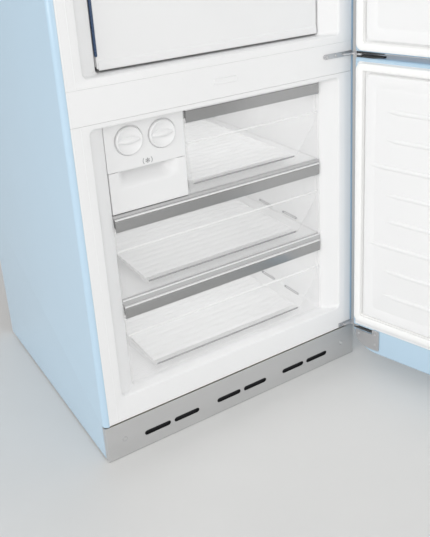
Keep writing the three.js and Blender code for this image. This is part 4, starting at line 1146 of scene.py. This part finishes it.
def door_fittings():
    """Bearing plates, the freezer door's hinge plate with its screws, and the bins with their rims."""
    bearing_plates()
    refined("freezer_hinge_plate", bevel=0.5)
    (x0, x1), (_, y), (z0, z1) = span("freezer_hinge_plate")
    spots = ((x1 - 10, y, z1 - 24), (x0 + 12, y, z1 - 12), (x0 + 12, y, z0 + 16))
    screws("freezer_hinge_screws", "hinge_steel", spots, 1, 3.8, body="freezer_door")
    for name in ("bottle_bin", "upper_door_bin"):
        refined(name, bevel=0.8, segments=3)
        x, (y0, y1), (_, top) = span(name)
        outer = rounded(grown(x, 1), (y0 + 1, y1 + 1.4), 1, 24.5, steps=10)
        inner = rounded(grown(x, -3.6), (y0 + 4, y1 - 3.6), 1, 20, steps=10)
        low, high = top - 12, top + 0.8
        rings = [in_xy(outer, low), in_xy(outer, high), in_xy(inner, high), in_xy(inner, low)]
        rim = Shape().skin(rings, loop=True)
        rim.piece(f"{name}_rim", "silver_trim", "fridge_door", bevel=0.6)


# ---- Stage ----
FLOOR_REACH = 14
SKY = 0.58
FREEZER_LIGHT_WIDTH = 0.5


def stage():
    """A plain pale floor under a white sky."""
    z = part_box("foot_left")[0].z
    surface("studio_floor", (0.74, 0.74, 0.73), 0.5, 40, 0.05, mottle=0.02)
    mesh = bpy.data.meshes.new("studio_floor")
    reach = (-FLOOR_REACH, FLOOR_REACH)
    mesh.from_pydata(in_xy(rectangle(reach, reach), z), [], [(0, 1, 2, 3)])
    mesh.materials.append(LOOKS["studio_floor"])
    floor = add_object("studio_floor", mesh)
    scene = bpy.context.scene
    scene.world = bpy.data.worlds.new("studio")
    scene.world.use_nodes = True
    background = scene.world.node_tree.nodes["Background"]
    background.inputs["Color"].default_value = (1, 1, 1, 1)
    background.inputs["Strength"].default_value = SKY
    scene.view_settings.view_transform = "Standard"
    scene.cycles.transparent_max_bounces = 32  # the clear drawers lie several walls deep
    scene.cycles.diffuse_bounces = 8


def softbox(name, place, target, size, power):
    """A soft rectangular lamp, turned towards its target."""
    light = bpy.data.lights.new(name, "AREA")
    light.shape = "RECTANGLE"
    light.size, light.size_y = size
    light.energy = power
    lamp = add_object(name, light)
    lamp.location = place
    lamp.rotation_euler = (Vector(target) - Vector(place)).to_track_quat("-Z", "Y").to_euler()


def lights():
    """Three soft boxes outside, and one under the top of each freezer space."""
    softbox("key", (-2.4, -3.6, 2.8), (0, -0.2, 0.5), (1.8, 1.8), 41)
    softbox("front", (0.2, -3.6, 0.9), (0, 0.2, 0.4), (2.4, 1.2), 15)
    softbox("side", (-3.6, -1, 1.5), (0.2, -0.2, 0.5), (2, 2.4), 45)
    for name, z, y, power in (
            ("freezer_top", 746.5, (60, 480), 0.55), ("freezer_middle", 549.5, (50, 500), 0.42),
            ("freezer_bottom", 353, (50, 360), 0.37)):
        place = TO_ROW @ Vector((0, middle(y), z))
        size = (FREEZER_LIGHT_WIDTH, (y[1] - y[0]) * MM)
        softbox(name, place, place - Vector((0, 0, 1)), size, power)


def camera():
    """The camera that was fitted to the photograph."""
    data = bpy.data.cameras.new("camera")
    data.sensor_width = 36
    data.lens = 50.2
    data.shift_x, data.shift_y = -0.039, -0.160
    eye = add_object("camera", data)
    forward = Vector((0.49982, 0.78975, -0.35563)).normalized()
    right = Vector((0.83379, -0.54989, -0.04927))
    right = (right - forward * right.dot(forward)).normalized()
    up = right.cross(forward)
    turn = Matrix((right, up, -forward)).transposed().to_4x4()
    eye.matrix_world = Matrix.Translation((-0.7972, -1.6150, 1.0815)) @ turn
    bpy.context.scene.camera = eye


# ---- Assembly ----
cabinet_skin()
linings()
flange_creases()
mullion()
hinges()
plinth()
for side in ("left", "right"):
    levelling_foot(side)
    rear_roller(side)
back_of_cabinet()
machine_compartment()
evaporator_fan()
drawer("bottom_drawer", (-199, 199))
drawer("middle_drawer", (-199, 199))
drawer("top_drawer", (-72, 199))
freezer_shelves()
ice_maker()
fridge_inside()
door("freezer_door", DOOR_CORNER, EDGE_CORNER, span("bottom_hinge")[2][0] + 7,
     [(90, 128), (775, span("freezer_door_shell")[2][1] + 5)])
door("fridge_door", EDGE_CORNER, DOOR_CORNER, span("top_hinge")[2][1] - 7,
     [(span("fridge_door_shell")[2][0] - 5, 829), (1958, 2000)])
door_fittings()
for node, thing in frame["nodes"].items():
    if not thing.hide_render:
        thing.data.materials.clear()
        thing.data.materials.append(LOOKS[SLOT_OF[node]])
stage()
lights()
camera()
